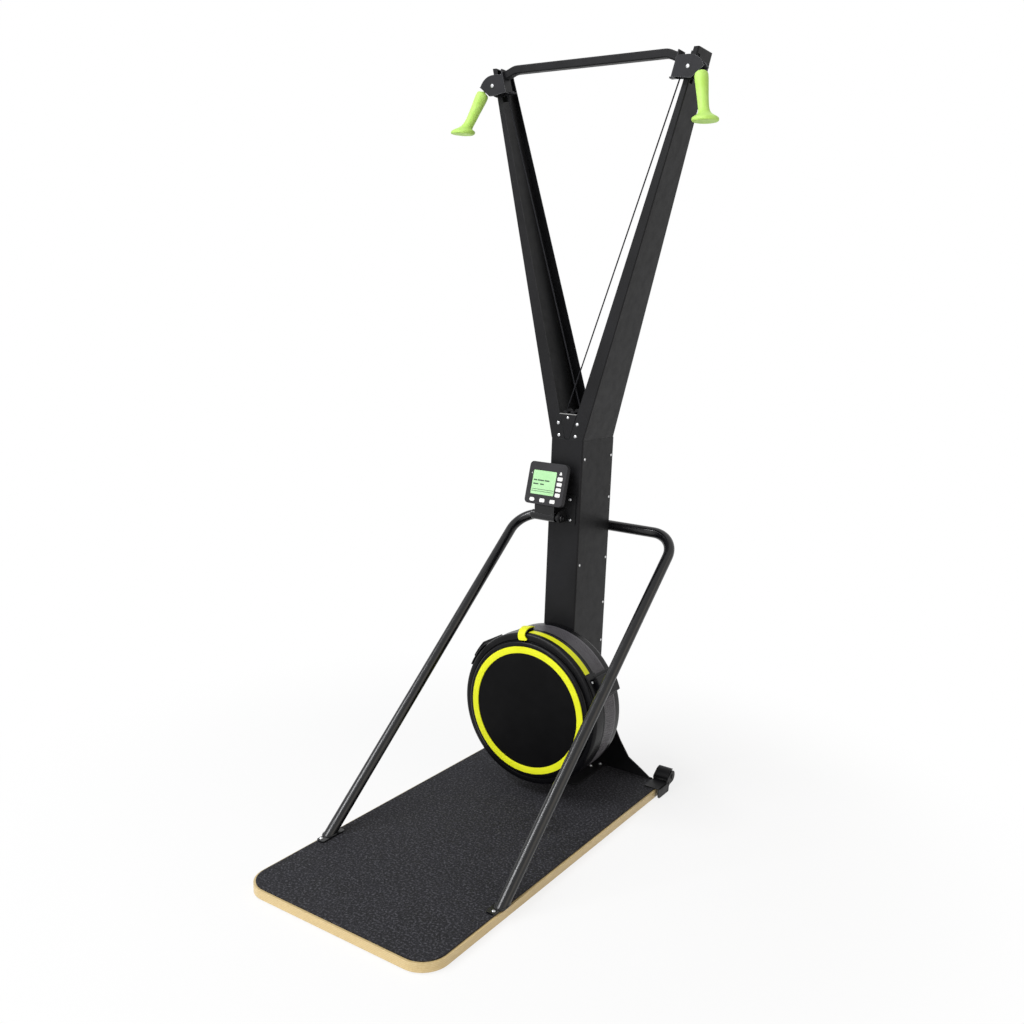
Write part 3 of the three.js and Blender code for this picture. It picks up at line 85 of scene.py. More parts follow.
def roundedBox(x0, y0, x1, y1, radius, steps=6):
    return roundedCorners([(x0, y0, radius), (x1, y0, radius), (x1, y1, radius), (x0, y1, radius)], steps)


def arcPoints(radius, start, end, step):
    count = max(2, math.ceil(abs(end - start) / step))
    angles = [math.radians(start + (end - start) * k / count) for k in range(count + 1)]
    return [(radius * math.cos(a), radius * math.sin(a)) for a in angles]


def arcOutline(inner, outer, start, end, step=1.5):
    return arcPoints(outer, start, end, step) + arcPoints(inner, end, start, step)


# Where the two coordinates of an outline and its thickness go
planes = {
    "XY": lambda a, b, t: (a, b, t),
    "XZ": lambda a, b, t: (a, t, b),
    "YZ": lambda a, b, t: (t, a, b),
}


def plate(loops, low, high, plane="XZ", shift=(0, 0)):
    # The first loop is the outline, and the others are holes
    loops = loops if isinstance(loops[0][0], (tuple, list)) else [loops]
    place = planes[plane]
    flat = [(a + shift[0], b + shift[1]) for loop in loops for a, b in loop]
    count = len(flat)
    points = [place(a, b, low) for a, b in flat] + [place(a, b, high) for a, b in flat]
    corners = tessellate_polygon([[Vector((a, b, 0)) for a, b in loop] for loop in loops])
    faces = [tuple(t) for t in corners] + [tuple(i + count for i in reversed(t)) for t in corners]
    first = 0
    for loop in loops:
        size = len(loop)
        for k in range(size):
            a, b = first + k, first + (k + 1) % size
            faces.append((a, b, b + count, a + count))
        first += size
    return points, faces


axes = {"X": ((1, 0, 0), (0, 1, 0), (0, 0, 1)), "Y": ((0, 1, 0), (1, 0, 0), (0, 0, 1))}


def turned(profile, centre, axis, segments, steps=0, edit=None):
    # The profile holds (radius, place along the axis); one that starts off the axis closes on itself
    centre = Vector(centre)
    if steps:
        profile = roundedCorners(profile, steps, profile[0][0] > 0)
    if axis in axes:
        along, across, up = (Vector(v) for v in axes[axis])
    else:
        along = Vector(axis)
        across = along.orthogonal().normalized()
        up = along.cross(across)
    points, rows = [], []
    for radius, deep in profile:
        if radius == 0:
            rows.append([len(points)] * segments)
            points.append(centre + along * deep)
            continue
        row = []
        for i in range(segments):
            angle = 2 * math.pi * i / segments
            d = edit(deep, math.degrees(angle)) if edit else deep
            row.append(len(points))
            points.append(centre + along * d + (across * math.cos(angle) + up * math.sin(angle)) * radius)
        rows.append(row)
    pairs = list(zip(rows, rows[1:]))
    if profile[0][0] > 0:
        pairs.append((rows[-1], rows[0]))
    faces = []
    for low, high in pairs:
        for i in range(segments):
            j = (i + 1) % segments
            face = []
            for corner in (low[i], low[j], high[j], high[i]):
                if corner not in face:
                    face.append(corner)
            if len(face) > 2:
                faces.append(tuple(face))
    return points, faces


def bothEnds(start, middle):
    # A profile whose end mirrors its start
    return [*start, *middle, *[(radius, -deep, *rest) for radius, deep, *rest in reversed(start)]]


def ringFaces(rows, sides):
    # Quads between rows of the same number of points
    faces = []
    for row in range(1, rows):
        for k in range(sides):
            a, b = (row - 1) * sides + k, (row - 1) * sides + (k + 1) % sides
            faces.append((a, b, b + sides, a + sides))
    last = (rows - 1) * sides
    return faces + [tuple(range(sides))[::-1], tuple(range(last, last + sides))]


def circle(centre, side, up, radius, count):
    turns = [2 * math.pi * k / count for k in range(count)]
    return [centre + (side * math.cos(turn) + up * math.sin(turn)) * radius for turn in turns]


def tube(path, radius, sides):
    path = [Vector(p) for p in path]
    count = len(path)
    tangents = []
    for i in range(count):
        ahead = (path[min(i + 1, count - 1)] - path[i]).normalized()
        behind = (path[i] - path[max(i - 1, 0)]).normalized()
        tangents.append((ahead + behind).normalized())
    normal = tangents[0].orthogonal().normalized()
    points = []
    for i, tangent in enumerate(tangents):
        normal = (normal - tangent * normal.dot(tangent)).normalized()
        points += circle(path[i], normal, tangent.cross(normal), radius, sides)
    return points, ringFaces(count, sides)


def filletedPath(corners, radius, steps):
    corners = [Vector(c) for c in corners]
    path = [corners[0]]
    for i in range(1, len(corners) - 1):
        before = (corners[i - 1] - corners[i]).normalized()
        after = (corners[i + 1] - corners[i]).normalized()
        half = before.angle(after) / 2
        start = corners[i] + before * (radius / math.tan(half))
        centre = corners[i] + (before + after).normalized() * (radius / math.sin(half))
        axis = after.cross(before).normalized()
        for k in range(steps + 1):
            turn = Matrix.Rotation((math.pi - 2 * half) * k / steps, 3, axis)
            path.append(centre + turn @ (start - centre))
    return path + [corners[-1]]


def moved(shape, matrix):
    points, faces = shape
    return [matrix @ Vector(p) for p in points], faces


def mirrored(shape):
    points, faces = shape
    return [(-p[0], p[1], p[2]) for p in points], [tuple(reversed(f)) for f in faces]


def levelled(shape, height):
    # Cuts away what is below a height and closes the cut
    mesh = bmesh.new()
    corners = [mesh.verts.new(p) for p in shape[0]]
    for face in shape[1]:
        mesh.faces.new([corners[i] for i in face])
    everything = mesh.verts[:] + mesh.edges[:] + mesh.faces[:]
    plane = {"plane_co": (0, 0, height), "plane_no": (0, 0, -1)}
    cut = bmesh.ops.bisect_plane(mesh, geom=everything, clear_outer=True, **plane)
    rim = [e for e in cut["geom_cut"] if isinstance(e, bmesh.types.BMEdge)]
    bmesh.ops.holes_fill(mesh, edges=rim)
    mesh.verts.index_update()
    points = [v.co.copy() for v in mesh.verts]
    faces = [tuple(v.index for v in f.verts) for f in mesh.faces]
    mesh.free()
    return points, faces


# Angles in degrees, the join's reach in metres
easing = {"corner": 38, "steps": 2, "weight": 90, "join": 1e-6, "flat": 0.6}


def addObject(name, data):
    thing = bpy.data.objects.new(name, data)
    bpy.context.scene.collection.objects.link(thing)
    return thing


def easeEdges(thing, width, steps=easing["steps"]):
    bevel = thing.modifiers.new("easedEdges", "BEVEL")
    bevel.width = width / mmPerMetre
    bevel.segments = steps
    bevel.limit_method = "ANGLE"
    bevel.angle_limit = math.radians(easing["corner"])
    bevel.miter_outer = "MITER_ARC"
    normals = thing.modifiers.new("flatFaces", "WEIGHTED_NORMAL")
    normals.weight = easing["weight"]
    normals.keep_sharp = True


def easeSolid(thing, width):
    # A CAD solid comes as loose triangles, so its flats are joined first
    thing.modifiers.new("joinCorners", "WELD").merge_threshold = easing["join"]
    flat = thing.modifiers.new("joinFlats", "DECIMATE")
    flat.decimate_type = "DISSOLVE"
    flat.angle_limit = math.radians(easing["flat"])
    easeEdges(thing, width)


def piece(
    name, shapes, finish, replaces=None, body="frame", matrix=None, ease=0, steps=2, sharp=35
):
    points, faces = [], []
    for shape in shapes if isinstance(shapes, list) else [shapes]:
        start = len(points)
        points += [matrix @ Vector(p) for p in shape[0]] if matrix else list(shape[0])
        faces += [tuple(i + start for i in face) for face in shape[1]]
    mesh = bpy.data.meshes.new(name)
    mesh.from_pydata([toPart(p) for p in points], [], faces)
    work = bmesh.new()
    work.from_mesh(mesh)
    bmesh.ops.recalc_face_normals(work, faces=work.faces[:])
    work.to_mesh(mesh)
    work.free()
    mesh.shade_smooth()
    if not ease:
        mesh.set_sharp_from_angle(angle=math.radians(sharp))
    mesh.materials.append(finishes[finish])
    thing = addObject(name, mesh)
    if ease:
        easeEdges(thing, ease, steps)
    if body:
        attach(thing, body)
    if replaces:
        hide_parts(replaces)
    return thing


sides = (("right", 1, lambda shape: shape), ("left", -1, mirrored))

# Camera: fitted to the photograph's straight edges
cameraSettings = {
    "place": (1.5265, -2.1145, 1.4279),
    "azimuth": 32.05,
    "pitch": 12.53,
    "roll": 2.54,
    "lens": 35.36,
    "sensor": 36,
    "shift": (-0.0419, 0.0298),
}


def makeCamera(settings):
    azimuth, pitch, roll = (math.radians(settings[k]) for k in ("azimuth", "pitch", "roll"))
    level = math.cos(pitch)
    back = Vector((math.sin(azimuth) * level, -math.cos(azimuth) * level, math.sin(pitch)))
    right = Vector((math.cos(azimuth), math.sin(azimuth), 0))
    up = back.cross(right)
    c, s = math.cos(roll), math.sin(roll)
    data = bpy.data.cameras.new("camera")
    data.lens = settings["lens"]
    data.sensor_width = settings["sensor"]
    data.shift_x, data.shift_y = settings["shift"]
    camera = addObject("camera", data)
    turn = Matrix((right * c + up * s, up * c - right * s, back)).transposed().to_4x4()
    camera.matrix_world = Matrix.Translation(settings["place"]) @ turn
    bpy.context.scene.camera = camera


makeCamera(cameraSettings)
print("camera made")

# Finishes


def colour(text):
    # From a written sRGB colour to the linear one that a shader takes
    parts = [int(text[i : i + 2], 16) / 255 for i in (1, 3, 5)]
    linear = [c / 12.92 if c <= 0.04045 else ((c + 0.055) / 1.055) ** 2.4 for c in parts]
    return (*linear, 1)


def addNode(tree, kind, inputs=None, **facts):
    node = tree.nodes.new(kind)
    for key, value in facts.items():
        setattr(node, key, value)
    for key, value in (inputs or {}).items():
        fill(tree, node.inputs[key], value)
    return node


def fill(tree, socket, value):
    if isinstance(value, bpy.types.NodeSocket):
        tree.links.new(value, socket)
    else:
        socket.default_value = value


class Finish:
    sockets = {
        "colour": "Base Color",
        "rough": "Roughness",
        "metal": "Metallic",
        "normal": "Normal",
        "specular": "Specular IOR Level",
        "coat": "Coat Weight",
        "coatRough": "Coat Roughness",
        "glow": "Emission Color",
        "glowStrength": "Emission Strength",
    }

    def __init__(self, name):
        self.material = bpy.data.materials.new(name)
        self.material.use_nodes = True
        self.tree = self.material.node_tree
        self.shader = self.tree.nodes["Principled BSDF"]
        self.place = self.add("ShaderNodeTexCoord").outputs["Object"]

    def add(self, kind, inputs=None, **facts):
        return addNode(self.tree, kind, inputs, **facts)

    def noise(self, scale, detail, rough=0.55, stretch=None):
        place = self.place
        if stretch:
            place = self.add("ShaderNodeMapping", {"Vector": place, "Scale": stretch}).outputs[0]
        inputs = {"Vector": place, "Scale": scale, "Detail": detail, "Roughness": rough}
        return self.add("ShaderNodeTexNoise", inputs).outputs["Fac"]

    def cells(self, scale, **facts):
        inputs = {"Vector": self.place, "Scale": scale}
        return self.add("ShaderNodeTexVoronoi", inputs, **facts).outputs["Distance"]

    def sum(self, operation, a, b=0.0):
        return self.add("ShaderNodeMath", {0: a, 1: b}, operation=operation).outputs[0]

    def spread(self, value, low, high, fromLow=0.3, fromHigh=0.7):
        inputs = {"Value": value, "From Min": fromLow, "From Max": fromHigh, "To Min": low, "To Max": high}
        return self.add("ShaderNodeMapRange", inputs).outputs[0]

    def blend(self, share, a, b):
        a, b = (colour(value) if isinstance(value, str) else value for value in (a, b))
        return self.add("ShaderNodeMix", {0: share, 6: a, 7: b}, data_type="RGBA").outputs[2]

    def tone(self, value, a, b, *reach):
        return self.blend(self.spread(value, *(reach or (0, 1))), a, b)

    def bump(self, height, depth, strength, before=None):
        inputs = {"Height": height, "Distance": depth, "Strength": strength}
        if before:
            inputs["Normal"] = before
        return self.add("ShaderNodeBump", inputs).outputs[0]

    def worn(self):
        # 0 on flats, up to 1 on outer edges, where wear and a painted highlight lighten the colour
        eased = self.add("ShaderNodeBevel", {"Radius": 0.0012}, samples=4).outputs[0]
        plain = self.add("ShaderNodeNewGeometry").outputs["Normal"]
        both = {0: eased, 1: plain}
        dot = self.add("ShaderNodeVectorMath", both, operation="DOT_PRODUCT").outputs["Value"]
        return self.spread(dot, 1.0, 0.0, 0.72, 0.985)

    def set(self, **values):
        for key, value in values.items():
            fill(self.tree, self.shader.inputs[self.sockets[key]], value)
        return self.material


paints = {  # base, light, edge colour for wear and a painted highlight along edges, roughness, scale and depth of the grain, specular
    "framePaint": ("#141415", "#1c1c1e", "#48484c", 0.4, 900, 0.00006, 0.14),
    # The plates' pale edge colour is mostly a painted highlight along their edges
    "platePaint": ("#1e1e20", "#28282b", "#a8a8ac", 0.4, 650, 0.00011, 0.16),
    "railPaint": ("#09090c", "#0e0e11", None, 0.21, 1200, 0.000003, 0.4),
    "bandSteel": ("#57555a", "#636165", "#777579", 0.36, 900, 0.00003, 0.3),
}


def powderCoat(name, base, light, edge, rough, grain, depth, specular):
    f = Finish(name)
    cloud = f.noise(9, 3)
    speck = f.noise(grain, 2, 0.6)
    tint = f.tone(cloud, base, light)
    tint = f.tone(speck, tint, light, 0, 0.35, 0.45, 0.75)
    if edge:
        patchy = f.spread(f.noise(60, 4), 0.1, 1, 0.35, 0.65)
        # Edges lighten with wear and with a painted highlight
        tint = f.blend(f.sum("MULTIPLY", f.worn(), patchy), tint, edge)
    roughness = f.spread(f.noise(38, 5), rough - 0.05, rough + 0.09)
    normal = f.bump(speck, depth, 0.6, f.bump(cloud, 0.0002, 0.25))
    return f.set(colour=tint, rough=roughness, normal=normal, specular=specular)


plastics = {  # base, light, roughness, scale and depth of the grain, specular
    "coverPlastic": ("#060608", "#0a0a0d", 0.3, 1700, 0.000004, 0.17),
    "facePlastic": ("#0a0a0b", "#0f0f10", 0.6, 1700, 0.00004, 0.06),
    "casePlastic": ("#201f22", "#2a292c", 0.5, 1400, 0.00005, 0.25),
    "wheelPlastic": ("#131314", "#1b1b1d", 0.5, 1400, 0.00005, 0.2),
    "yellowPlastic": ("#e9ed1c", "#f2f52a", 0.45, 1500, 0.00003, 0.25),
    "keySilicone": ("#e2e2e0", "#ededeb", 0.55, 1800, 0.00003, 0.4),
    "displayMarks": ("#2c4a31", "#37573b", 0.5, 1400, 0.00005, 0.5),
}


def mouldedPlastic(name, base, light, rough, grain, depth, specular):
    f = Finish(name)
    tint = f.tone(f.noise(22, 4), base, light)
    scuffs = f.noise(150, 6, 0.7, (1, 1, 6))
    roughness = f.spread(scuffs, rough - 0.07, rough + 0.07, 0.35, 0.7)
    normal = f.bump(f.cells(grain / 2.2), depth, 0.5)
    return f.set(colour=tint, rough=roughness, normal=normal, specular=specular)


metals = {  # base, light, roughness
    "brightSteel": ("#b9babc", "#d6d7d8", 0.3),
    "greySteel": ("#7f7f7e", "#9a9a98", 0.4),
}


def steel(name, base, light, rough):
    f = Finish(name)
    grain = f.noise(420, 3, 0.6)
    tint = f.tone(f.noise(30, 4), base, light)
    roughness = f.spread(grain, rough - 0.06, rough + 0.1)
    return f.set(colour=tint, metal=1.0, rough=roughness, normal=f.bump(grain, 0.00002, 0.5))


wood = {"base": "#cfb57e", "light": "#e0ca98", "ply": "#c2a469", "pore": "#b08c50", "plies": 1400.0}


def boardWood(name):
    # Veneers lie in Z, and the grain runs along Y
    f = Finish(name)
    warp = f.noise(5, 3, 0.6, (1, 0.25, 3))
    height = f.add("ShaderNodeSeparateXYZ", {0: f.place}).outputs["Z"]
    level = f.sum("ADD", height, f.sum("MULTIPLY", warp, 0.0012))
    wave = f.sum("SINE", f.sum("MULTIPLY", level, wood["plies"]))
    fibre = f.noise(260, 6, 0.65, (1, 0.05, 1))
    pores = f.noise(900, 2, 0.5, (1, 0.08, 1))
    tint = f.tone(fibre, wood["base"], wood["light"])
    tint = f.tone(f.spread(wave, 0, 1, -0.2, 1.0), tint, wood["ply"], 0, 0.5, 0, 1)
    tint = f.tone(pores, tint, wood["pore"], 0, 0.4, 0.58, 0.8)
    normal = f.bump(fibre, 0.00015, 0.5, f.bump(pores, 0.00008, 0.4))
    return f.set(colour=tint, rough=f.spread(fibre, 0.42, 0.58), normal=normal, coat=0.35, coatRough=0.3)


rubber = {"base": "#212123", "light": "#303034", "pitShade": "#141416", "speck": "#5c5c62", "pebbles": 300.0}


def matRubber(name):
    # Pebbled rubber with a pale speckle, darker in the pebbles' hollows as painted shade
    f = Finish(name)
    height = f.cells(rubber["pebbles"], feature="SMOOTH_F1")
    patches = f.noise(16, 5, 0.6)
    speck = f.noise(170, 3, 0.7)
    tint = f.tone(patches, rubber["base"], rubber["light"], 0, 1, 0.3, 0.75)
    # Painted shade: the hollows of the pebbling are darker
    tint = f.tone(height, tint, rubber["pitShade"], 0.55, 0, 0.1, 0.6)
    tint = f.tone(speck, tint, rubber["speck"], 0, 0.85, 0.5, 0.68)
    normal = f.bump(height, 0.0009, 0.55, f.bump(speck, 0.0003, 0.3))
    return f.set(colour=tint, rough=f.spread(patches, 0.62, 0.8), normal=normal, specular=0.12)


foam = {"base": "#b3dd62", "light": "#c0e87a", "shade": "#97c446"}


def gripFoam(name):
    f = Finish(name)
    skin = f.noise(900, 3, 0.6)
    tint = f.tone(f.noise(26, 4), foam["base"], foam["light"])
    tint = f.tone(skin, tint, foam["shade"], 0, 0.1, 0.5, 0.8)
    normal = f.bump(skin, 0.00003, 0.5)
    return f.set(colour=tint, rough=f.spread(skin, 0.42, 0.58), normal=normal, specular=0.3)


braid = {"dark": "#0a0a0b", "light": "#26262a", "lean": 0.5, "strands": 260.0}


def braidedCord(name):
    # Two sets of strands that cross round the cord
    f = Finish(name)
    strands = []
    for side in (1, -1):
        turn = {"Vector": f.place, "Rotation": (0, braid["lean"] * side, 0)}
        inputs = {"Vector": f.add("ShaderNodeMapping", turn).outputs[0], "Scale": braid["strands"]}
        inputs["Distortion"] = 0.6
        strands.append(f.add("ShaderNodeTexWave", inputs, bands_direction="Z").outputs["Fac"])
    weave = f.sum("MAXIMUM", *strands)
    tint = f.tone(weave, braid["dark"], braid["light"], 0, 1, 0.2, 0.9)
    roughness = f.spread(f.noise(500, 3), 0.6, 0.8)
    return f.set(colour=tint, rough=roughness, normal=f.bump(weave, 0.0004, 0.6), specular=0.15)


# The window's faint glow is painted light, as no lamp lights it from behind
display = {"base": "#a2d599", "light": "#b2dfa9", "cell": "#8cc98a", "glow": 0.12}


def displayGlass(name):
    f = Finish(name)
    tint = f.tone(f.noise(14, 3), display["base"], display["light"])
    cells = f.cells(1500.0, distance="CHEBYCHEV")
    tint = f.tone(cells, tint, display["cell"], 0, 0.12, 0.3, 0.7)
    gloss = {"rough": 0.22, "coat": 0.6, "coatRough": 0.06, "specular": 0.5}
    # Painted glow: the window emits its own tint
    return f.set(colour=tint, glow=tint, glowStrength=display["glow"], **gloss)


finishes = {}
for maker, settings in ((powderCoat, paints), (mouldedPlastic, plastics), (steel, metals)):
    for name, values in settings.items():
        finishes[name] = maker(name, *values)
for maker in (boardWood, matRubber, gripFoam, braidedCord, displayGlass):
    finishes[maker.__name__] = maker(maker.__name__)

print("finishes made:", len(finishes))

# CAD nodes that stay in view: finish, how far their edges are eased, names
keptNodes = [
    ("framePaint", 0.8, ["base_bracket", "column_shell", "column_rear_cover", "arm_left", "arm_right"]),
    ("framePaint", 0.8, ["y_front_plate", "y_rear_plate", "crossbar", "monitor_bracket"]),
    ("platePaint", 0.7, ["pulley_bracket_left", "pulley_bracket_right"]),
    ("matRubber", 0.6, ["front_foot_strip", "rear_foot_strip"]),
    ("greySteel", 0, ["flywheel_fan", "cord_spool_left", "cord_spool_right"]),
    ("brightSteel", 0, ["drive_shaft", "front_bearing", "rear_bearing"]),
]
for finish, ease, names in keptNodes:
    for name in names:
        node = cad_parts[name]
        node.data.materials.clear()
        node.data.materials.append(finishes[finish])
        if ease:
            node.data.shade_smooth()
            easeSolid(node, ease)
print("kept nodes dressed")

# Platform
platform = {
    "length": 1150,
    "halfWidth": 300,
    "corner": 70,
    "rearCorner": 12,
    "cornerSteps": 20,
    "board": (3.3, 26.3),
    "mat": (26.6, 30.1),
    "matInset": 6,
    "edge": 8.5,
    "matEdge": 1,
}


def platformShape(inset, low, high):
    side = platform["halfWidth"] - inset
    corner = platform["corner"] - inset
    rear = platform["rearCorner"]
    back = platform["length"] - inset
    corners = [(-side, inset, corner), (side, inset, corner), (side, back, rear), (-side, back, rear)]
    return plate(roundedCorners(corners, platform["cornerSteps"]), low, high, "XY")


board = platformShape(0, *platform["board"])
mat = platformShape(platform["matInset"], *platform["mat"])
piece("board", board, "boardWood", "platform_board", ease=platform["edge"], steps=5)
piece("mat", mat, "matRubber", "platform_mat", ease=platform["matEdge"])
print("platform made")

# Transport rollers
roller = {
    "radius": 20.5,
    "half": 20.5,
    "groove": 2.5,
    "bore": 5.3,
    "corner": 1,
    "crown": 0.8,
    "centre": (287.5, 1174.5, 43),
}


def rollerShape():
    r, h, g = roller["radius"], roller["half"], roller["groove"]
    bore, corner, crown = roller["bore"], roller["corner"], roller["crown"]
    start = [(bore, -h), (r - g, -h, corner), (r, g - h, corner), (r, -g, crown)]
    return turned(bothEnds(start, [(r - g, 0, crown)]), roller["centre"], "X", 48, 3)


for side, sign, makeSide in sides:
    name = "roller_" + side
    piece(name, makeSide(rollerShape()), "wheelPlastic", "transport_roller_" + side, name)

bracket = {
    "cheeks": [(310, 313, 1083), (262, 265, 1150.3)],  # inside, outside, front
    "lobe": 18.8,
    "lobeArc": (-76, 124, 8),
    "floor": 1.5,
    "top": (30.4, 33.4),
    "front": 1086,
    "foldBack": 1153.3,
    "foldThick": 3,
    "foldCorners": (3, 1),
    "foot": (2, 4),  # from the fold's back, corner
    "hollow": (3, -22, 8),  # from the fold's back, from the axle's height, corner
    "neck": (-6, 3, 6),
    "shoulder": (-16, 6),
    "corners": (12, 4),
    "fender": (21.6, 24.2, 68, 176),
    "fenderInset": 3,
    "axle": 5,
    "axleHead": (7, 2.5, 1),
    "ease": 0.8,
}


def cheekOutline(front):
    b, (_, back, height) = bracket, roller["centre"]
    turns = [math.radians(a) for a in range(*b["lobeArc"])]
    corners = [(front, b["floor"], b["corners"][0])]
    corners += [(b["foldBack"] + b["foot"][0], b["floor"], b["foot"][1])]
    corners += [(b["foldBack"] + b["hollow"][0], height + b["hollow"][1], b["hollow"][2])]
    corners += [(back + b["lobe"] * math.cos(a), height + b["lobe"] * math.sin(a)) for a in turns]
    corners += [(b["foldBack"] + b["neck"][0], height + b["neck"][1], b["neck"][2])]
    corners += [(b["foldBack"] + b["shoulder"][0], b["top"][1], b["shoulder"][1])]
    return roundedCorners(corners + [(front, b["top"][1], b["corners"][1])], 4)


def bracketShapes():
    b, (_, back, height) = bracket, roller["centre"]
    low, high = b["top"]
    shapes = [plate(cheekOutline(front), inside, outside, "YZ") for inside, outside, front in b["cheeks"]]
    left, right = b["cheeks"][1][0], b["cheeks"][0][1]
    large, small = b["foldCorners"]
    shapes.append(plate(roundedBox(left, b["front"], right, b["foldBack"], large), low, high, "XY"))
    foldFront = b["foldBack"] - b["foldThick"]
    shapes.append(plate(roundedBox(left, b["floor"], right, high, small), foldFront, b["foldBack"]))
    fender = arcOutline(*b["fender"], 4)
    inset = b["fenderInset"]
    shapes.append(plate(fender, left + inset, right - inset, "YZ", (back, height)))
    head, reach, corner = b["axleHead"]
    profile = [(0, left - reach), (head, left - reach, corner), (head, left), (b["axle"], left)]
    profile += [(b["axle"], right), (head, right), (head, right + reach, corner), (0, right + reach)]
    return shapes + [turned(profile, (0, back, height), "X", 24, 3)]


for side, sign, makeSide in sides:
    shapes = [makeSide(shape) for shape in bracketShapes()]
    piece("rollerBracket_" + side, shapes, "framePaint", "roller_bracket_" + side, ease=bracket["ease"])

# Rail: bent tube, welded feet, saddle plate behind the column
rail = {
    "radius": 15.9,
    "foot": (288.3, 291),
    "top": (280, 1156.3, 812.5),
    "bend": 80,
    "floor": 30.4,
    "cutAbove": 0.5,
    "footHalf": (19, 42),
    "footLimit": 295,
    "footCorner": 6.3,
    "footThick": 4,
    "footLean": 0.01,
    "saddleHalf": (45, 30),
    "saddleCorner": 5,
    "saddle": (1141.3, 1145.3),
    "bead": 2.2,
    "beadSteps": 32,
}


def railTube(foot, top):
    below = foot - (top - foot).normalized() * (3 * rail["radius"])  # cut level at the floor afterwards
    leftOf = lambda p: Vector((-p.x, p.y, p.z))
    path = filletedPath([leftOf(below), leftOf(top), top, below], rail["bend"], 24)
    return levelled(tube(path, rail["radius"], 40), rail["floor"] + rail["cutAbove"])


def railShapes():
    spread, back = rail["foot"]
    foot, top = Vector((spread, back, rail["floor"])), Vector(rail["top"])
    shapes = [railTube(foot, top)]
    slope = (top - foot).normalized()
    wide, long = rail["footHalf"]
    limit, lift = rail["footLimit"], rail["footThick"]
    for side in (1, -1):
        middle = side * spread
        low, high = max(middle - wide, -limit), min(middle + wide, limit)
        outline = roundedBox(low, back - long, high, back + long, rail["footCorner"])
        shapes.append(plate(outline, rail["floor"], rail["floor"] + lift, "XY"))
        bead = []
        for k in range(rail["beadSteps"] + 1):
            a = 2 * math.pi * k / rail["beadSteps"]
            x = middle - side * lift * rail["footLean"] + rail["radius"] * math.cos(a)
            y = back + (rail["radius"] * math.sin(a) + lift * slope.y) / slope.z
            bead.append((x, y, rail["floor"] + lift))
        shapes.append(tube(bead, rail["bead"], 8))
    wide, tall = rail["saddleHalf"]
    height = rail["top"][2]
    outline = roundedBox(-wide, height - tall, wide, height + tall, rail["saddleCorner"])
    return shapes + [plate(outline, *rail["saddle"])]


piece("rail", railShapes(), "railPaint", "rail_tube", sharp=40)
print("rail made")

# Drum
drum = {
    "centre": (0, 0, 301.4),
    "face": 803,
    "faceThick": 6.8,
    "faceRadius": 208,
    "faceFillet": 8,
    "faceInset": 8,
    "ring": (174, 193.8),
    "ringFront": 801.2,
    "ringBack": 804.7,
    "ringCorner": 0.7,
    "ringGap": 0.3,
    "rimStep": 816,
    "stepDrop": 0.5,
    "crease": (2.6, 2.2),
    "rimRadius": 231,
    "rimFillet": 10.5,
    "shoulder": 813.2,
    "wall": 3.3,
    "smallCorner": 0.8,
    "innerCorners": (3, 2),
    "notch": (0.6, 4.2),  # gap beside the stem, depth
    "coverBack": 860,
    "bandBack": 930,
    "housingBack": 961.2,
    "segments": 180,
}
damper = {
    "angle": 98,
    "travel": 55,
    "thick": 3.6,
    "strap": [  # radius, depth, half width to the left and to the right
        (211.6, 808.6, 4, 14), (213.2, 808.4, 9, 20), (217, 808.6, 11, 21),
        (222, 809.2, 11.5, 15), (231, 812.5, 12, 11.5), (239.5, 824, 13, 11),
        (243, 840, 15, 11), (242.2, 854, 16.5, 12), (238.5, 864, 15, 11),
        (235.5, 868.5, 10, 6),
    ],
    "strapRadius": 232,
    "steps": 8,
    "across": 12,
    "stem": 22,
    "stemTop": 242.2,
    "stemDepth": (856.4, 859.8),
    "shutter": (221.9, 224.1),
    "shutterBack": 924.8,
    "shutterArc": 52,
}


def drumTurned(profile, steps=4, segments=drum["segments"], edit=None):
    return turned(profile, drum["centre"], "Y", segments, steps, edit)


def drumPlate(loops, front, back):
    return plate(loops, front, back, shift=(0, drum["centre"][2]))


def arcDegrees(length, radius):
    return math.degrees(length / radius)


def coverShape():
    d = drum
    notchGap, notchDeep = d["notch"]
    notchHalf = arcDegrees(damper["stem"] / 2 + notchGap, d["rimRadius"])
    low, high = damper["angle"] - damper["travel"] - notchHalf, damper["angle"] + notchHalf
    wall, rim, face, gap, small = d["wall"], d["rimRadius"], d["face"], d["ringGap"], d["smallCorner"]
    inner, outer = d["ring"][0] - gap, d["ring"][1] + gap
    ringBack, step, inside = d["ringBack"] + gap, d["rimStep"] - d["stepDrop"], face + d["faceThick"]
    edge, crease = d["faceRadius"], d["faceRadius"] + d["crease"][0]
    profile = [(0, face), (inner, face, small), (inner, ringBack), (outer, ringBack), (outer, face, small)]
    profile += [(edge, face, d["faceFillet"]), (edge, step, small), (crease, step, small)]
    profile += [(crease, d["shoulder"], d["crease"][1]), (rim, d["shoulder"], d["rimFillet"])]
    (large, little), shelf = d["innerCorners"], d["rimStep"] + wall
    profile += [(rim, d["coverBack"]), (rim - wall, d["coverBack"]), (rim - wall, shelf, large)]
    profile += [(edge - wall, shelf, little), (edge - d["faceInset"], inside, large), (0, inside)]

    def edit(deep, angle):
        notched = abs(deep - d["coverBack"]) < 0.01 and low < angle < high
        return deep - notchDeep if notched else deep

    return drumTurned(profile, 5, edit=edit)


def ringShape():
    inner, outer = drum["ring"]
    front, back, corner = drum["ringFront"], drum["ringBack"], drum["ringCorner"]
    return drumTurned([(inner, front, corner), (outer, front, corner), (outer, back), (inner, back)])


band = {
    "outer": 229.7,
    "thick": 1.2,
    "columns": 264,
    "rows": 10,
    "rim": 5,
    "rimThick": 2.2,
    "hole": 1.55,
    "corners": 8,
    "squareness": 0.9,
    "gap": 0.3,
}


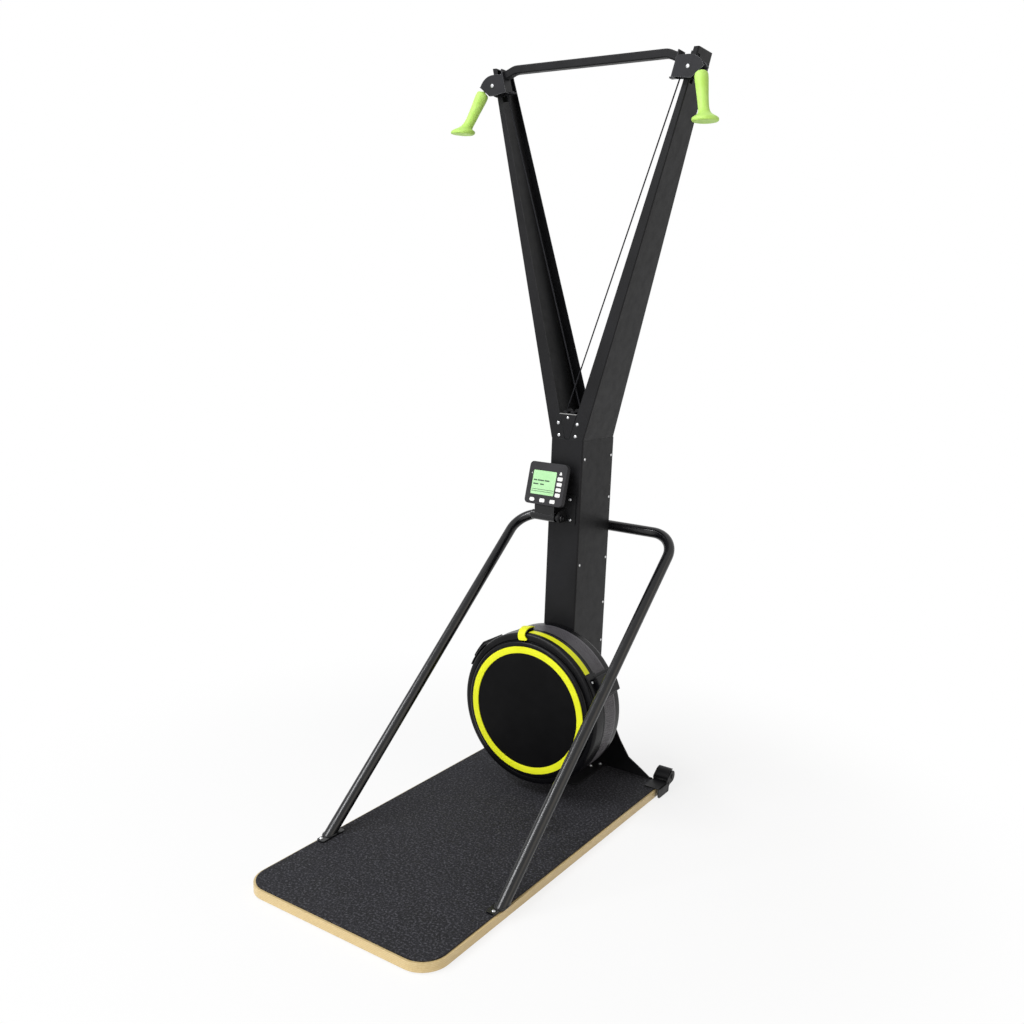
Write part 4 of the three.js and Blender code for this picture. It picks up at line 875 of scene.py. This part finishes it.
def bandShape():
    # One sheet of square cells, every second row moved by half a cell, each with an eight-sided hole
    front, back = drum["coverBack"] + band["gap"], drum["bandBack"] - band["gap"]
    low, high = front + band["rim"], back - band["rim"]
    radius, columns, rows, count = band["outer"], band["columns"], band["rows"], band["corners"]
    pitch = 2 * math.pi / columns
    tall = (high - low) / rows
    points, faces = [], []

    def corner(angle, deep, r):
        points.append((r * math.cos(angle), deep, drum["centre"][2] + r * math.sin(angle)))
        return len(points) - 1

    for r in (radius, radius - band["thick"]):
        for row in range(rows):
            shift = pitch / 2 if row % 2 else 0
            deep = low + (row + 0.5) * tall
            for column in range(columns):
                angle = column * pitch + shift
                outline, hole = [], []
                for k in range(count):
                    turn = (k + 0.5) * 2 * math.pi / count
                    c, s = math.cos(turn), math.sin(turn)
                    hole.append(corner(angle + band["hole"] * c / radius, deep + band["hole"] * s, r))
                    c, s = (math.copysign(min(abs(v) / band["squareness"], 1), v) for v in (c, s))
                    outline.append(corner(angle + c * pitch / 2, deep + s * tall / 2, r))
                for k in range(count):
                    j = (k + 1) % count
                    faces.append((outline[k], outline[j], hole[j], hole[k]))
    half = len(points) // 2
    for start in range(0, half, 2 * count):
        for k in range(count):
            a, b = start + 2 * k, start + 2 * ((k + 1) % count)
            faces.append((a, b, b + half, a + half))
    rims = []
    inner = radius - band["rimThick"]
    for y0, y1 in ((front, low), (high, back)):
        profile = [(inner, y0), (radius, y0), (radius, y1), (inner, y1)]
        rims.append(turned(profile, drum["centre"], "Y", columns))
    return [(points, faces), *rims]


housing = {
    "outer": 229.7,
    "wall": 3.5,
    "fillet": 12,
    "bore": 62,
    "boreLip": (5, 2, 1),  # width, reach forward, corner
    "slots": 16,
    "slot": (82, 186),
    "slotCorners": (3, 10),
    "rib": 10,
}


def slotOutline(turn):
    (inner, outer), (small, large) = housing["slot"], housing["slotCorners"]
    corners = []
    for radius, sign, ease in ((inner, -1, small), (outer, -1, large), (outer, 1, large), (inner, 1, small)):
        half = math.pi / housing["slots"] * radius - housing["rib"] / 2
        corners.append((radius, sign * half, ease))
    c, s = math.cos(turn), math.sin(turn)
    return [(x * c - y * s, x * s + y * c) for x, y in roundedCorners(corners, 6)]


def housingShapes():
    h = housing
    outer, wall, bore = h["outer"], h["wall"], h["bore"]
    back, front = drum["housingBack"], drum["housingBack"] - wall
    edge = outer - h["fillet"]
    loops = [arcPoints(edge, 0, 360, 2)[:-1], arcPoints(bore, 360, 0, 4)[:-1]]
    loops += [slotOutline(2 * math.pi * (i + 0.5) / h["slots"]) for i in range(h["slots"])]
    dish = drumPlate(loops, front, back)
    profile = [(edge, front), (outer - wall, front, h["fillet"] - wall), (outer - wall, drum["bandBack"])]
    profile += [(outer, drum["bandBack"]), (outer, back, h["fillet"]), (edge, back)]
    wide, ahead, corner = h["boreLip"]
    lip = [(bore, front), (bore + wide, front - ahead, corner), (bore + wide, front), (bore, back)]
    return [dish, drumTurned(profile, 8), drumTurned(lip, 3, segments=90)]


piece("drumCover", coverShape(), "coverPlastic", "front_cover", sharp=38)
piece("drumRing", ringShape(), "yellowPlastic", "accent_ring")
piece("drumBand", bandShape(), "bandSteel", "mesh_band", sharp=50)
piece("drumHousing", housingShapes(), "coverPlastic", "rear_housing")

# Matt disc let into the middle of the cover, and a hoop over the seam between the cover and the band
trim = {
    "drumPanel": ("facePlastic", [(0, 802.6), (171.8, 802.6, 0.5), (171.8, 803.4), (0, 803.4)]),
    "drumHoop": ("coverPlastic", [(230.6, 860.2), (231.5, 860.2, 0.5), (231.5, 866.6, 0.5), (230.6, 866.6)]),
}
for name, (finish, profile) in trim.items():
    piece(name, drumTurned(profile, 3), finish)
print("drum made")

# Clips that hold the drum's covers together
clip = {
    "angles": {"right": 27, "left": 146.5},
    "inner": 231.2,
    "layers": [  # outer radius, half arc in degrees, front, back
        (236.5, 10.8, 818, 868),
        (237.5, 9.2, 852, 938),
        (250.5, 7.2, 842, 939),
    ],
    "ease": 2.4,
    "screws": [(5, 835, 236.5), (-5, 835, 236.5), (0, 872, 250.5), (0, 920, 250.5)],  # turn, depth, radius
    "screw": (4, 2),
}


def clipShapes(middle):
    inner = clip["inner"]
    return [
        drumPlate(arcOutline(inner, outer, middle - spread, middle + spread), front, back)
        for outer, spread, front, back in clip["layers"]
    ]


for side, angle in clip["angles"].items():
    shapes = clipShapes(angle)
    piece("clip_" + side, shapes, "coverPlastic", "drum_clip_" + side, ease=clip["ease"], steps=3)

# Damper: a strap that steps from the cover's shoulder over the rim, its stem and the shutter inside


def smoothPath(corners, steps):
    # A smooth curve through the corners
    spots = [Vector(c) for c in corners]
    spots = [spots[0] * 2 - spots[1], *spots, spots[-1] * 2 - spots[-2]]
    path = []
    for i in range(1, len(spots) - 2):
        a, b, c, d = spots[i - 1 : i + 3]
        square, cube = a * 2 - b * 5 + c * 4 - d, b * 3 - a - c * 3 + d
        for k in range(steps):
            t = k / steps
            path.append((b * 2 + (c - a) * t + square * t**2 + cube * t**3) / 2)
    return path + [spots[-2]]


def strapShape():
    # A sheet of two layers that follows the curve, its corners placed round the drum
    path = smoothPath(damper["strap"], damper["steps"])
    across, half = damper["across"], damper["thick"] / 2
    points, faces = [], []
    step = across + 1
    for i, spot in enumerate(path):
        change = path[min(i + 1, len(path) - 1)] - path[max(i - 1, 0)]
        ahead = Vector((change[0], change[1])).normalized()
        for layer in (-half, half):
            r, y = spot[0] + ahead.y * layer, spot[1] - ahead.x * layer
            for k in range(step):
                wide = spot[2] - (spot[2] + spot[3]) * k / across
                angle = math.radians(damper["angle"] + arcDegrees(wide, damper["strapRadius"]))
                points.append((r * math.cos(angle), y, drum["centre"][2] + r * math.sin(angle)))
    for i in range(len(path) - 1):
        a, b = 2 * step * i, 2 * step * (i + 1)
        for k in range(across):
            faces.append((a + k, a + k + 1, b + k + 1, b + k))
            faces.append((a + step + k, b + step + k, b + step + k + 1, a + step + k + 1))
        faces.append((a, b, b + step, a + step))
        faces.append((a + across, a + across + step, b + across + step, b + across))
    for start in (0, 2 * step * (len(path) - 1)):
        for k in range(start, start + across):
            faces.append((k, k + 1, k + step + 1, k + step))
    return points, faces


def shutterShapes():
    low, high = damper["shutter"]
    front, behind = damper["stemDepth"]
    half = arcDegrees(damper["stem"] / 2, drum["rimRadius"])
    start = damper["angle"] - half
    stem = arcOutline(low, damper["stemTop"], start, damper["angle"] + half)
    blade = arcOutline(low, high, start, start + damper["shutterArc"])
    return [drumPlate(stem, front, behind), drumPlate(blade, front, damper["shutterBack"])]


piece("damperStrap", strapShape(), "yellowPlastic", "damper_lever", "damper", ease=0.9)
piece("damperShutter", shutterShapes(), "wheelPlastic", body="damper", ease=0.4)

scale = {"arc": (231.2, 232.2, 38.7, 94, 1), "depth": (826.6, 848.4), "ease": 0.3}
strip = drumPlate(arcOutline(*scale["arc"]), *scale["depth"])
piece("damperScale", strip, "yellowPlastic", "scale_strip", ease=scale["ease"])
print("damper made")

# Cord wheels: top pulleys, guide pulleys and their pins
wheels = {
    "topPlace": (306, 994, 2067),
    "topRadius": 26,
    "topHalf": 4,
    "topBore": 4.3,
    "hub": 9,
    "web": (20, 2),  # outer radius, half width
    "lip": (0.5, 2.2),  # how far below the cord's middle, half width between the lips
    "topSeat": 72,
    "guideSpread": 12,
    "guideHeight": 1164,
    "guideRadius": 11.3,
    "guideHalf": 3.5,
    "guideBore": 3.3,
    "guideSeat": 84,
    "crossing": 3,
    "cordRadius": 2,
    "seatGap": 0.3,
    "pin": [
        (0, 962.6), (3.2, 962.8, 1.5), (5.4, 964.2, 1), (5.6, 965.7), (4, 965.7), (4, 1002.3),
        (6.5, 1002.3), (6.5, 1005, 0.6), (0, 1005.3),
    ],
}


def seatPoints(radius, reach):
    seat = wheels["cordRadius"] + wheels["seatGap"]
    turns = [math.radians(t) for t in range(-reach, reach + 1, 12)]
    return [(radius - seat * math.cos(a), seat * math.sin(a)) for a in turns]


def topPulleyShape():
    r, half, bore, hub = (wheels[k] for k in ("topRadius", "topHalf", "topBore", "hub"))
    (rim, web), (drop, lip) = wheels["web"], wheels["lip"]
    start = [(bore, -half), (hub, -half), (hub, -web), (rim, -web), (rim, -half)]
    start += [(r - drop, -half), (r - drop, -lip)]
    return turned(bothEnds(start, seatPoints(r, wheels["topSeat"])), wheels["topPlace"], "Y", 64)


def guidePulleyShape(sign):
    r, half, bore = (wheels[k] for k in ("guideRadius", "guideHalf", "guideBore"))
    profile = bothEnds([(bore, -half), (r, -half)], seatPoints(r, wheels["guideSeat"]))
    depth = wheels["topPlace"][1] + sign * wheels["crossing"]
    return turned(profile, (sign * wheels["guideSpread"], depth, wheels["guideHeight"]), "Y", 48)


def pinShape():
    x, _, z = wheels["topPlace"]
    return turned(wheels["pin"], (x, 0, z), "Y", 40, 3)


for side, sign, makeSide in sides:
    topName = "top_pulley_" + side
    piece("topPulley_" + side, makeSide(topPulleyShape()), "wheelPlastic", topName, topName)
    guideName = "guide_pulley_" + side
    piece("guidePulley_" + side, guidePulleyShape(sign), "wheelPlastic", guideName, "guide_" + side)
    piece("pulleyPin_" + side, makeSide(pinShape()), "brightSteel", "pulley_pin_" + side)

# Guard plates inside the arms, behind the slots for the pulleys; they follow the outer walls
guard = {"outline": [(271, 2031), (297, 2031), (318.4, 2114), (292.4, 2114)], "depth": (1008, 1010)}
for side, sign, makeSide in sides:
    piece("pulleyGuard_" + side, makeSide(plate(guard["outline"], *guard["depth"])), "framePaint")

# Cords: from the spool, round the guide pulley across the crotch, over the top pulley, to the handle
cord = {
    "spoolRadius": 25,
    "spoolDepth": {1: 992, -1: 1012},
    "sides": 12,
    "stub": (332, 994, 2066.7),
    "ease": 0.75,
}


def runAngle(low, high):
    # The lean of the tangent from one wheel to the next
    dx, dz = high["x"] - low["x"], high["z"] - low["z"]
    lean = math.asin((high["hand"] * high["radius"] - low["hand"] * low["radius"]) / math.hypot(dx, dz))
    return math.atan2(dz, dx) + lean


def touch(wheel, angle, depth):
    reach = wheel["hand"] * wheel["radius"]
    return Vector((wheel["x"] - reach * math.sin(angle), depth, wheel["z"] + reach * math.cos(angle)))


def wrap(wheel, start, end, depth, steps):
    return [touch(wheel, start + (end - start) * k / steps, depth) for k in range(steps + 1)]


def cordPath(sign):
    # A wheel's hand is 1 where the rising cord passes on its left
    x, depth, z = wheels["topPlace"]
    guideX, guideZ = -sign * wheels["guideSpread"], wheels["guideHeight"]
    spool = {"x": 0, "z": drum["centre"][2], "radius": cord["spoolRadius"], "hand": -1}
    guide = {"x": guideX, "z": guideZ, "radius": wheels["guideRadius"], "hand": sign}
    top = {"x": sign * x, "z": z, "radius": wheels["topRadius"], "hand": sign}
    lowAngle, highAngle = runAngle(spool, guide), runAngle(guide, top)
    down = -math.pi / 2 if sign > 0 else 1.5 * math.pi
    start = touch(spool, lowAngle, cord["spoolDepth"][sign])
    roundGuide = wrap(guide, lowAngle, highAngle, depth - sign * wheels["crossing"], 8)
    roundTop = wrap(top, highAngle, down, depth, 36)
    path = [start.lerp(roundGuide[0], k / 12) for k in range(12)] + roundGuide[:-1]
    return path + [roundGuide[-1].lerp(roundTop[0], k / 24) for k in range(24)] + roundTop


handle = {
    "top": Vector((340.5, 973, 2054)),
    "runs": {1: Vector((34, -35, -121)), -1: Vector((34, -36, -111))},
    "level": Vector((0.03, 0.02, -1)),
    "segments": 64,
    "sections": [  # share of the run, radius, how far it has turned level, offset along the lean
        (0.0, 0.01, 0, 0), (0.0, 5.5, 0, 0), (0.018, 7, 0, 0),
        (0.03, 7.4, 0, 0), (0.032, 11, 0, 0), (0.045, 15.6, 0, 0),
        (0.08, 17.8, 0, 0), (0.15, 18, 0, 0), (0.33, 16.6, 0, 0),
        (0.52, 15, 0.03, 0), (0.7, 14, 0.1, 0), (0.82, 14.2, 0.35, 1.2),
        (0.89, 16.4, 0.65, 3.4), (0.93, 20.6, 0.85, 5.6), (0.96, 27.5, 0.95, 6.8),
        (0.985, 32.6, 1, 7.2), (1.01, 34.8, 1, 7.2), (1.05, 34.6, 1, 7.2),
        (1.075, 32, 1, 7.2), (1.08, 26, 1, 7.2), (1.07, 14, 1, 7.2),
        (1.068, 0.01, 1, 7.2),
    ],
}


def stubPath(sign):
    # A soft bend from straight down to the grip's lean
    axis = handle["runs"][sign].normalized()
    start = Vector(cord["stub"])
    end = handle["top"] + axis * 0.5
    drop = start.z - end.z
    a = start + Vector((0, 0, -drop * cord["ease"]))
    b = end - axis * (drop * (1 - cord["ease"]))
    path = []
    for k in range(25):
        t = k / 24
        u = 1 - t
        p = start * u**3 + a * (3 * u * u * t) + b * (3 * u * t * t) + end * t**3
        path.append(Vector((sign * p.x, p.y, p.z)))
    return path


def handleShape(sign):
    # The grip leans, while the disc at its end lies level
    run, segments = handle["runs"][sign], handle["segments"]
    lean = run.normalized()
    across = Vector((lean.x, lean.y, 0)).normalized()
    points = []
    for share, radius, level, offset in handle["sections"]:
        normal = lean.lerp(handle["level"].normalized(), level).normalized()
        side = (Vector((0, 1, 0)) - normal * normal.y).normalized()
        centre = handle["top"] + run * share + across * offset
        points += circle(centre, side, normal.cross(side), radius, segments)
    return points, ringFaces(len(handle["sections"]), segments)


for side, sign, makeSide in sides:
    gripBody = "grip_" + side
    run = tube(cordPath(sign), wheels["cordRadius"], cord["sides"])
    piece("cordRun_" + side, run, "braidedCord", "cord_run_" + side)
    path = stubPath(sign)
    stub = tube(path, wheels["cordRadius"], cord["sides"])
    stub = piece("cordStub_" + side, stub, "braidedCord", "free_cord_" + side, None)
    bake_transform(stub)
    grip = piece(gripBody, makeSide(handleShape(sign)), "gripFoam", "handle_" + side, gripBody)
    soft = grip.modifiers.new("smoothSkin", "SUBSURF")
    soft.levels = soft.render_levels = 1
print("cords and handles made")

# Monitor, in its own leaning frame: x across, y deep, z up the face
monitor = {
    "place": (-33, 895, 900),
    "lean": 14.15,
    "half": 64,
    "height": 123.5,
    "depth": 22,
    "corner": 12,
    "bezel": 5,
    "case": (5.3, 16, 3),  # front, back of the wide part, inset of the narrow part
    "window": (-8.7, 63.8, 39.7, 35.25),  # middle across and up, half width and height
    "windowCorner": 2.7,
    "windowDepth": (1, 6),
    "gap": 0.3,
    "keySide": 45.6,
    "keyTop": 96,
    "keyPitch": 15.8,
    "arrow": [(-5, -4.5, 2), (5, -4.5, 2), (1.6, 4.5, 1.4), (-1.6, 4.5, 1.4)],
    "arrowHalf": (5, 4.5),
    "keyHalf": (8.5, 5.5),
    "keyCorner": 3,
    "keyDepth": (-1.4, 8),
    "lowKey": (-3, 12.5, 35),  # middle key's place, pitch
    "lowCorners": (5.4, 3, 3),
}
monitorTurn = Matrix.Translation(monitor["place"]) @ Matrix.Rotation(math.radians(-monitor["lean"]), 4, "X")


def monitorPiece(name, shapes, finish, replaces=None, body="monitor", ease=0):
    piece(name, shapes, finish, replaces, body, matrix=monitorTurn, ease=ease)


def keyOutlines(grow=0):
    # Five keys at the side, the uppermost one an arrow head, and three below the window
    keys = {}
    x, top = monitor["keySide"], monitor["keyTop"]
    wide, tall = monitor["arrowHalf"]
    arrow = [(x + a * (1 + grow / wide), top + b * (1 + grow / tall), r) for a, b, r in monitor["arrow"]]
    keys["side_button_1"] = roundedCorners(arrow, 4)
    wide, tall = (v + grow for v in monitor["keyHalf"])
    corner = monitor["keyCorner"] + grow
    for i in range(1, 5):
        z = top - i * monitor["keyPitch"]
        keys[f"side_button_{i + 1}"] = roundedBox(x - wide, z - tall, x + wide, z + tall, corner, 5)
    middle, z, pitch = monitor["lowKey"]
    for i, corner in enumerate(monitor["lowCorners"]):
        x = middle + (i - 1) * pitch
        outline = roundedBox(x - wide, z - tall, x + wide, z + tall, corner + grow * 0.9, 6)
        keys[f"bottom_button_{i + 1}"] = outline
    return keys


def faceOutline(inset):
    side, high = monitor["half"] - inset, monitor["height"] - inset
    return roundedBox(-side, inset, side, high, monitor["corner"] - inset, 10)


def windowOutline(grow=0):
    x, z, w, h = monitor["window"]
    w, h = w + grow, h + grow
    return roundedBox(x - w, z - h, x + w, z + h, monitor["windowCorner"] + grow, 5)


gap = monitor["gap"]
holes = [windowOutline(gap)[::-1]] + [outline[::-1] for outline in keyOutlines(gap).values()]
bezel = plate([faceOutline(0), *holes], 0, monitor["bezel"])
front, wideBack, inset = monitor["case"]
case = [plate(faceOutline(0), front, wideBack), plate(faceOutline(inset), front, monitor["depth"])]
window = plate(windowOutline(), *monitor["windowDepth"])
monitorPiece("monitorBezel", bezel, "casePlastic", "monitor_bezel", ease=0.9)
monitorPiece("monitorCase", case, "casePlastic", "monitor_back_shell", ease=1.4)
monitorPiece("monitorWindow", window, "displayGlass", "monitor_lens", ease=0.3)
for name, outline in keyOutlines().items():
    key = plate(outline, *monitor["keyDepth"])
    monitorPiece("key_" + name, key, "keySilicone", name, "key_" + name, ease=0.9)

# Plain bars where a display's lines of figures would be: left, right and height as shares, thickness
marks = {
    "bars": [
        (0.05, 0.2, 0.56, 4), (0.23, 0.5, 0.56, 4), (0.53, 0.74, 0.56, 4),
        (0.06, 0.28, 0.4, 4), (0.36, 0.52, 0.4, 4), (0.03, 0.97, 0.2, 1.6),
        (0.03, 0.97, 0.12, 1.6),
    ],
    "barDepth": (0.9, 1.1),
    "pointer": [(-6, 25, 0.4), (-3, 23, 0.4), (-3, 28, 0.4)],  # from the window's left edge and middle
    "pointerDepth": (-0.15, 1),
}


def displayMarks():
    x, z, w, h = monitor["window"]
    shapes = []
    for left, right, high, thick in marks["bars"]:
        x0, x1 = x - w + 2 * w * left, x - w + 2 * w * right
        z0 = z - h + 2 * h * high
        shapes.append(plate(roundedBox(x0, z0, x1, z0 + thick, 0.5, 2), *marks["barDepth"]))
    return shapes


def sideMark():
    x, z, w, _ = monitor["window"]
    corners = [(x - w + a, z + b, r) for a, b, r in marks["pointer"]]
    return plate(roundedCorners(corners, 2), *marks["pointerDepth"])


monitorPiece("displayBars", displayMarks(), "displayMarks")
monitorPiece("windowMark", sideMark(), "keySilicone")

# Monitor hinge: a leaf with its sleeve, on a pin with collars
hinge = {
    "centre": (0, 930, 861.5),
    "pin": 6,
    "pinGap": 0.3,
    "sleeve": (-87, -5),
    "radius": 14.5,
    "corner": 1.2,
    "leafLeft": -73,
    "leafRise": 58,
    "leafThick": 3,
    "head": (9.5, 5, 2.2),  # radius, length, corner
    "collar": (4.7, 0.6),  # end, corner
    "pinEnd": 11.3,
}


def leafShapes():
    low, high = hinge["sleeve"]
    r, thick, corner = hinge["radius"], hinge["leafThick"], hinge["corner"]
    bore = hinge["pin"] + hinge["pinGap"]
    profile = [(bore, low), (r, low, corner), (r, high, corner), (bore, high)]
    sleeve = turned(profile, hinge["centre"], "X", 64, 4)
    place = monitor["place"]
    offset = Vector((0, hinge["centre"][1] - place[1], hinge["centre"][2] - place[2]))
    local = Matrix.Rotation(math.radians(monitor["lean"]), 4, "X") @ offset
    front = monitor["depth"] + monitor["gap"]
    under, reach = local.z + r / 2, local.y - r
    outline = [(front, hinge["leafRise"]), (front, -thick, 2), (reach, under - thick)]
    outline += [(local.y - hinge["pin"] - thick, under), (reach + thick, under + thick)]
    outline += [(front + thick, 0, 2), (front + thick, hinge["leafRise"])]
    leaf = plate(roundedCorners(outline, 4), hinge["leafLeft"] - place[0], high - place[0], "YZ")
    return [moved(leaf, monitorTurn), sleeve]


def hingePinShape():
    low, high = (end + sign * hinge["pinGap"] for end, sign in zip(hinge["sleeve"], (-1, 1)))
    (r, length, corner), (collar, small) = hinge["head"], hinge["collar"]
    p, right = hinge["pin"], hinge["pinEnd"]
    profile = [(0, low - length), (r, low - length, corner), (r, low), (p, low), (p, high), (r, high, small)]
    profile += [(r, collar, small), (p, collar), (p, right), (r, right)]
    profile += [(r, right + length, hinge["corner"]), (0, right + length)]
    return turned(profile, hinge["centre"], "X", 48, 4)


piece("monitorLeaf", leafShapes(), "railPaint", "monitor_leaf", "monitor", ease=0.5)
piece("hingePin", hingePinShape(), "railPaint", "monitor_pin")
print("monitor made")

# Filling between the arms' front faces, flush with them, with a folded lip on top whose light grey steel
# paints the highlight along the top edge
inlay = {  # outlines, front and back
    "sheet": ([(-7, 1090), (7, 1090), (27.6, 1160), (-27.6, 1160)], 961.9, 966.7),
    "lip": (roundedBox(-28.6, 1160.2, 28.6, 1162.4, 0.8, 3), 961.3, 970.7),
    "ease": 0.4,
}
piece("crotchInlay", plate(*inlay["sheet"]), "framePaint", ease=inlay["ease"])
# The lip's grey steel is a painted highlight along the inlay's top edge
piece("crotchLipHighlight", plate(*inlay["lip"]), "greySteel", ease=inlay["ease"])

# Fasteners: (place, outward axis, head radius, head height)
fasteners = {
    "bright": [
        *[((s * 54.2, 977, z), (s, 0, 0), 4.2, 2.2) for s in (1, -1) for z in (1034, 718)],
        *[((s * 54.2, 1131, z), (s, 0, 0), 4.2, 2.2) for s in (1, -1) for z in (1034, 906, 717, 573, 449)],
        *[((x, 958.2, z), (0, -1, 0), 4.4, 2.6) for x, z in [(23, 914), (26, 854)]],
        *[((s * 61, 1100, 35.4), (0, 0, 1), 6, 4) for s in (1, -1)],
        *[((s * 78, 1130, 35.4), (0, 0, 1), 6, 4) for s in (1, -1)],
        *[((s * 287, y, 34.4), (0, 0, 1), 5, 3.2) for s in (1, -1) for y in (260, 322)],
    ],
    "crotch": [
        *[((s * 32, 962.6, 1134), (0, -1, 0), 5, 2.6) for s in (1, -1)],
        *[((s * 28, 961.8, 1099), (0, -1, 0), 5, 2.6) for s in (1, -1)],
        ((0, 961.9, 1151), (0, -1, 0), 4.2, 2.4),
    ],
    "domeShares": [(0.5, 0.95), (0.95, 0.5)],
    "sunk": 0.4,
}


def headShape(place, axis, radius, height):
    dome = [(radius * wide, height * high, 1) for wide, high in fasteners["domeShares"]]
    profile = [(0, height), *dome, (radius, -fasteners["sunk"]), (0, -fasteners["sunk"])]
    return turned(profile, place, tuple(axis), 24, 4)


def clipScrews():
    heads = []
    for sign, middle in zip((1, -1), clip["angles"].values()):
        for turn, deep, reach in clip["screws"]:
            angle = math.radians(middle + sign * turn)
            out = Vector((math.cos(angle), 0, math.sin(angle)))
            place = out * reach + Vector((0, deep, drum["centre"][2]))
            heads.append(headShape(place, out, *clip["screw"]))
    return heads


piece("brightBolts", [headShape(*head) for head in fasteners["bright"]], "brightSteel")
piece("crotchBolts", [headShape(*head) for head in fasteners["crotch"]], "brightSteel")
piece("clipScrews", clipScrews(), "brightSteel")
print("fasteners made")

# Stage: pale floor, white surroundings, soft studio light; sizes in metres
stage = {
    "floorSize": 14,
    "floorDrop": 0.0006,
    "floorWhite": 0.95,
    "shadowShare": 0.2,
    "shadowReach": (0.75, 1.7),
    "fill": 0.36,
    "aim": (0, 0.1, 0.9),
    "lamps": [  # name, place, size, power, tint
        ("strip", (-2.5, -3.85, 6.1), (6, 0.9), 330, (0.97, 0.98, 1)),
        ("front", (-1.0, -7.0, 2.6), (3.4, 3.4), 170, (1, 1, 1)),
        ("side", (6.0, 0.4, 3.0), (4.4, 4.4), 58, (1, 0.88, 0.7)),
    ],
}


def seenDirectly(tree):
    # 1 for rays from the camera, off gloss and through glass
    path = addNode(tree, "ShaderNodeLightPath").outputs
    total = path["Is Camera Ray"]
    for name in ("Is Glossy Ray", "Is Transmission Ray"):
        total = addNode(tree, "ShaderNodeMath", {0: total, 1: path[name]}, operation="MAXIMUM").outputs[0]
    return total


def mixInto(tree, share, a, b, socket):
    mix = addNode(tree, "ShaderNodeMixShader", {0: share, 1: a, 2: b})
    tree.links.new(mix.outputs[0], socket)


def floorShare(tree):
    # How much of plain white is seen: less near the object, where the floor shows its shadow
    place = addNode(tree, "ShaderNodeTexCoord").outputs["Object"]
    far = addNode(tree, "ShaderNodeVectorMath", {0: place}, operation="LENGTH").outputs["Value"]
    near, beyond = stage["shadowReach"]
    reach = {"Value": far, "From Min": near, "From Max": beyond, "To Min": 1 - stage["shadowShare"]}
    plain = addNode(tree, "ShaderNodeMapRange", reach, interpolation_type="SMOOTHSTEP").outputs[0]
    both = {0: seenDirectly(tree), 1: plain}
    return addNode(tree, "ShaderNodeMath", both, operation="MULTIPLY").outputs[0]


def makeFloor():
    size, low = stage["floorSize"], -stage["floorDrop"]
    mesh = bpy.data.meshes.new("studioFloor")
    corners = [(-size, -size, low), (size, -size, low), (size, size, low), (-size, size, low)]
    mesh.from_pydata(corners, [], [(0, 1, 2, 3)])
    material = bpy.data.materials.new("studioFloor")
    material.use_nodes = True
    tree = material.node_tree
    tree.nodes.remove(tree.nodes["Principled BSDF"])
    diffuse = addNode(tree, "ShaderNodeBsdfDiffuse", {"Color": (*[stage["floorWhite"]] * 3, 1)})
    glow = addNode(tree, "ShaderNodeEmission")
    surface = tree.nodes["Material Output"].inputs["Surface"]
    mixInto(tree, floorShare(tree), diffuse.outputs[0], glow.outputs[0], surface)
    mesh.materials.append(material)
    addObject("studioFloor", mesh)


def makeWorld():
    world = bpy.data.worlds.new("studio")
    bpy.context.scene.world = world
    world.use_nodes = True
    tree = world.node_tree
    white = {"Color": (1, 1, 1, 1)}
    soft = addNode(tree, "ShaderNodeBackground", white | {"Strength": stage["fill"]})
    shown = addNode(tree, "ShaderNodeBackground", white)
    surface = tree.nodes["World Output"].inputs["Surface"]
    mixInto(tree, seenDirectly(tree), soft.outputs[0], shown.outputs[0], surface)


def makeLamps():
    for name, place, size, power, tint in stage["lamps"]:
        data = bpy.data.lights.new(name, "AREA")
        data.shape = "RECTANGLE"
        data.size, data.size_y = size
        data.energy = power
        data.color = tint
        lamp = addObject(name, data)
        lamp.location = place
        lamp.rotation_euler = (Vector(place) - Vector(stage["aim"])).to_track_quat("Z", "Y").to_euler()


makeFloor()
makeWorld()
makeLamps()
bpy.context.scene.view_settings.view_transform = "Standard"
print("stage made")
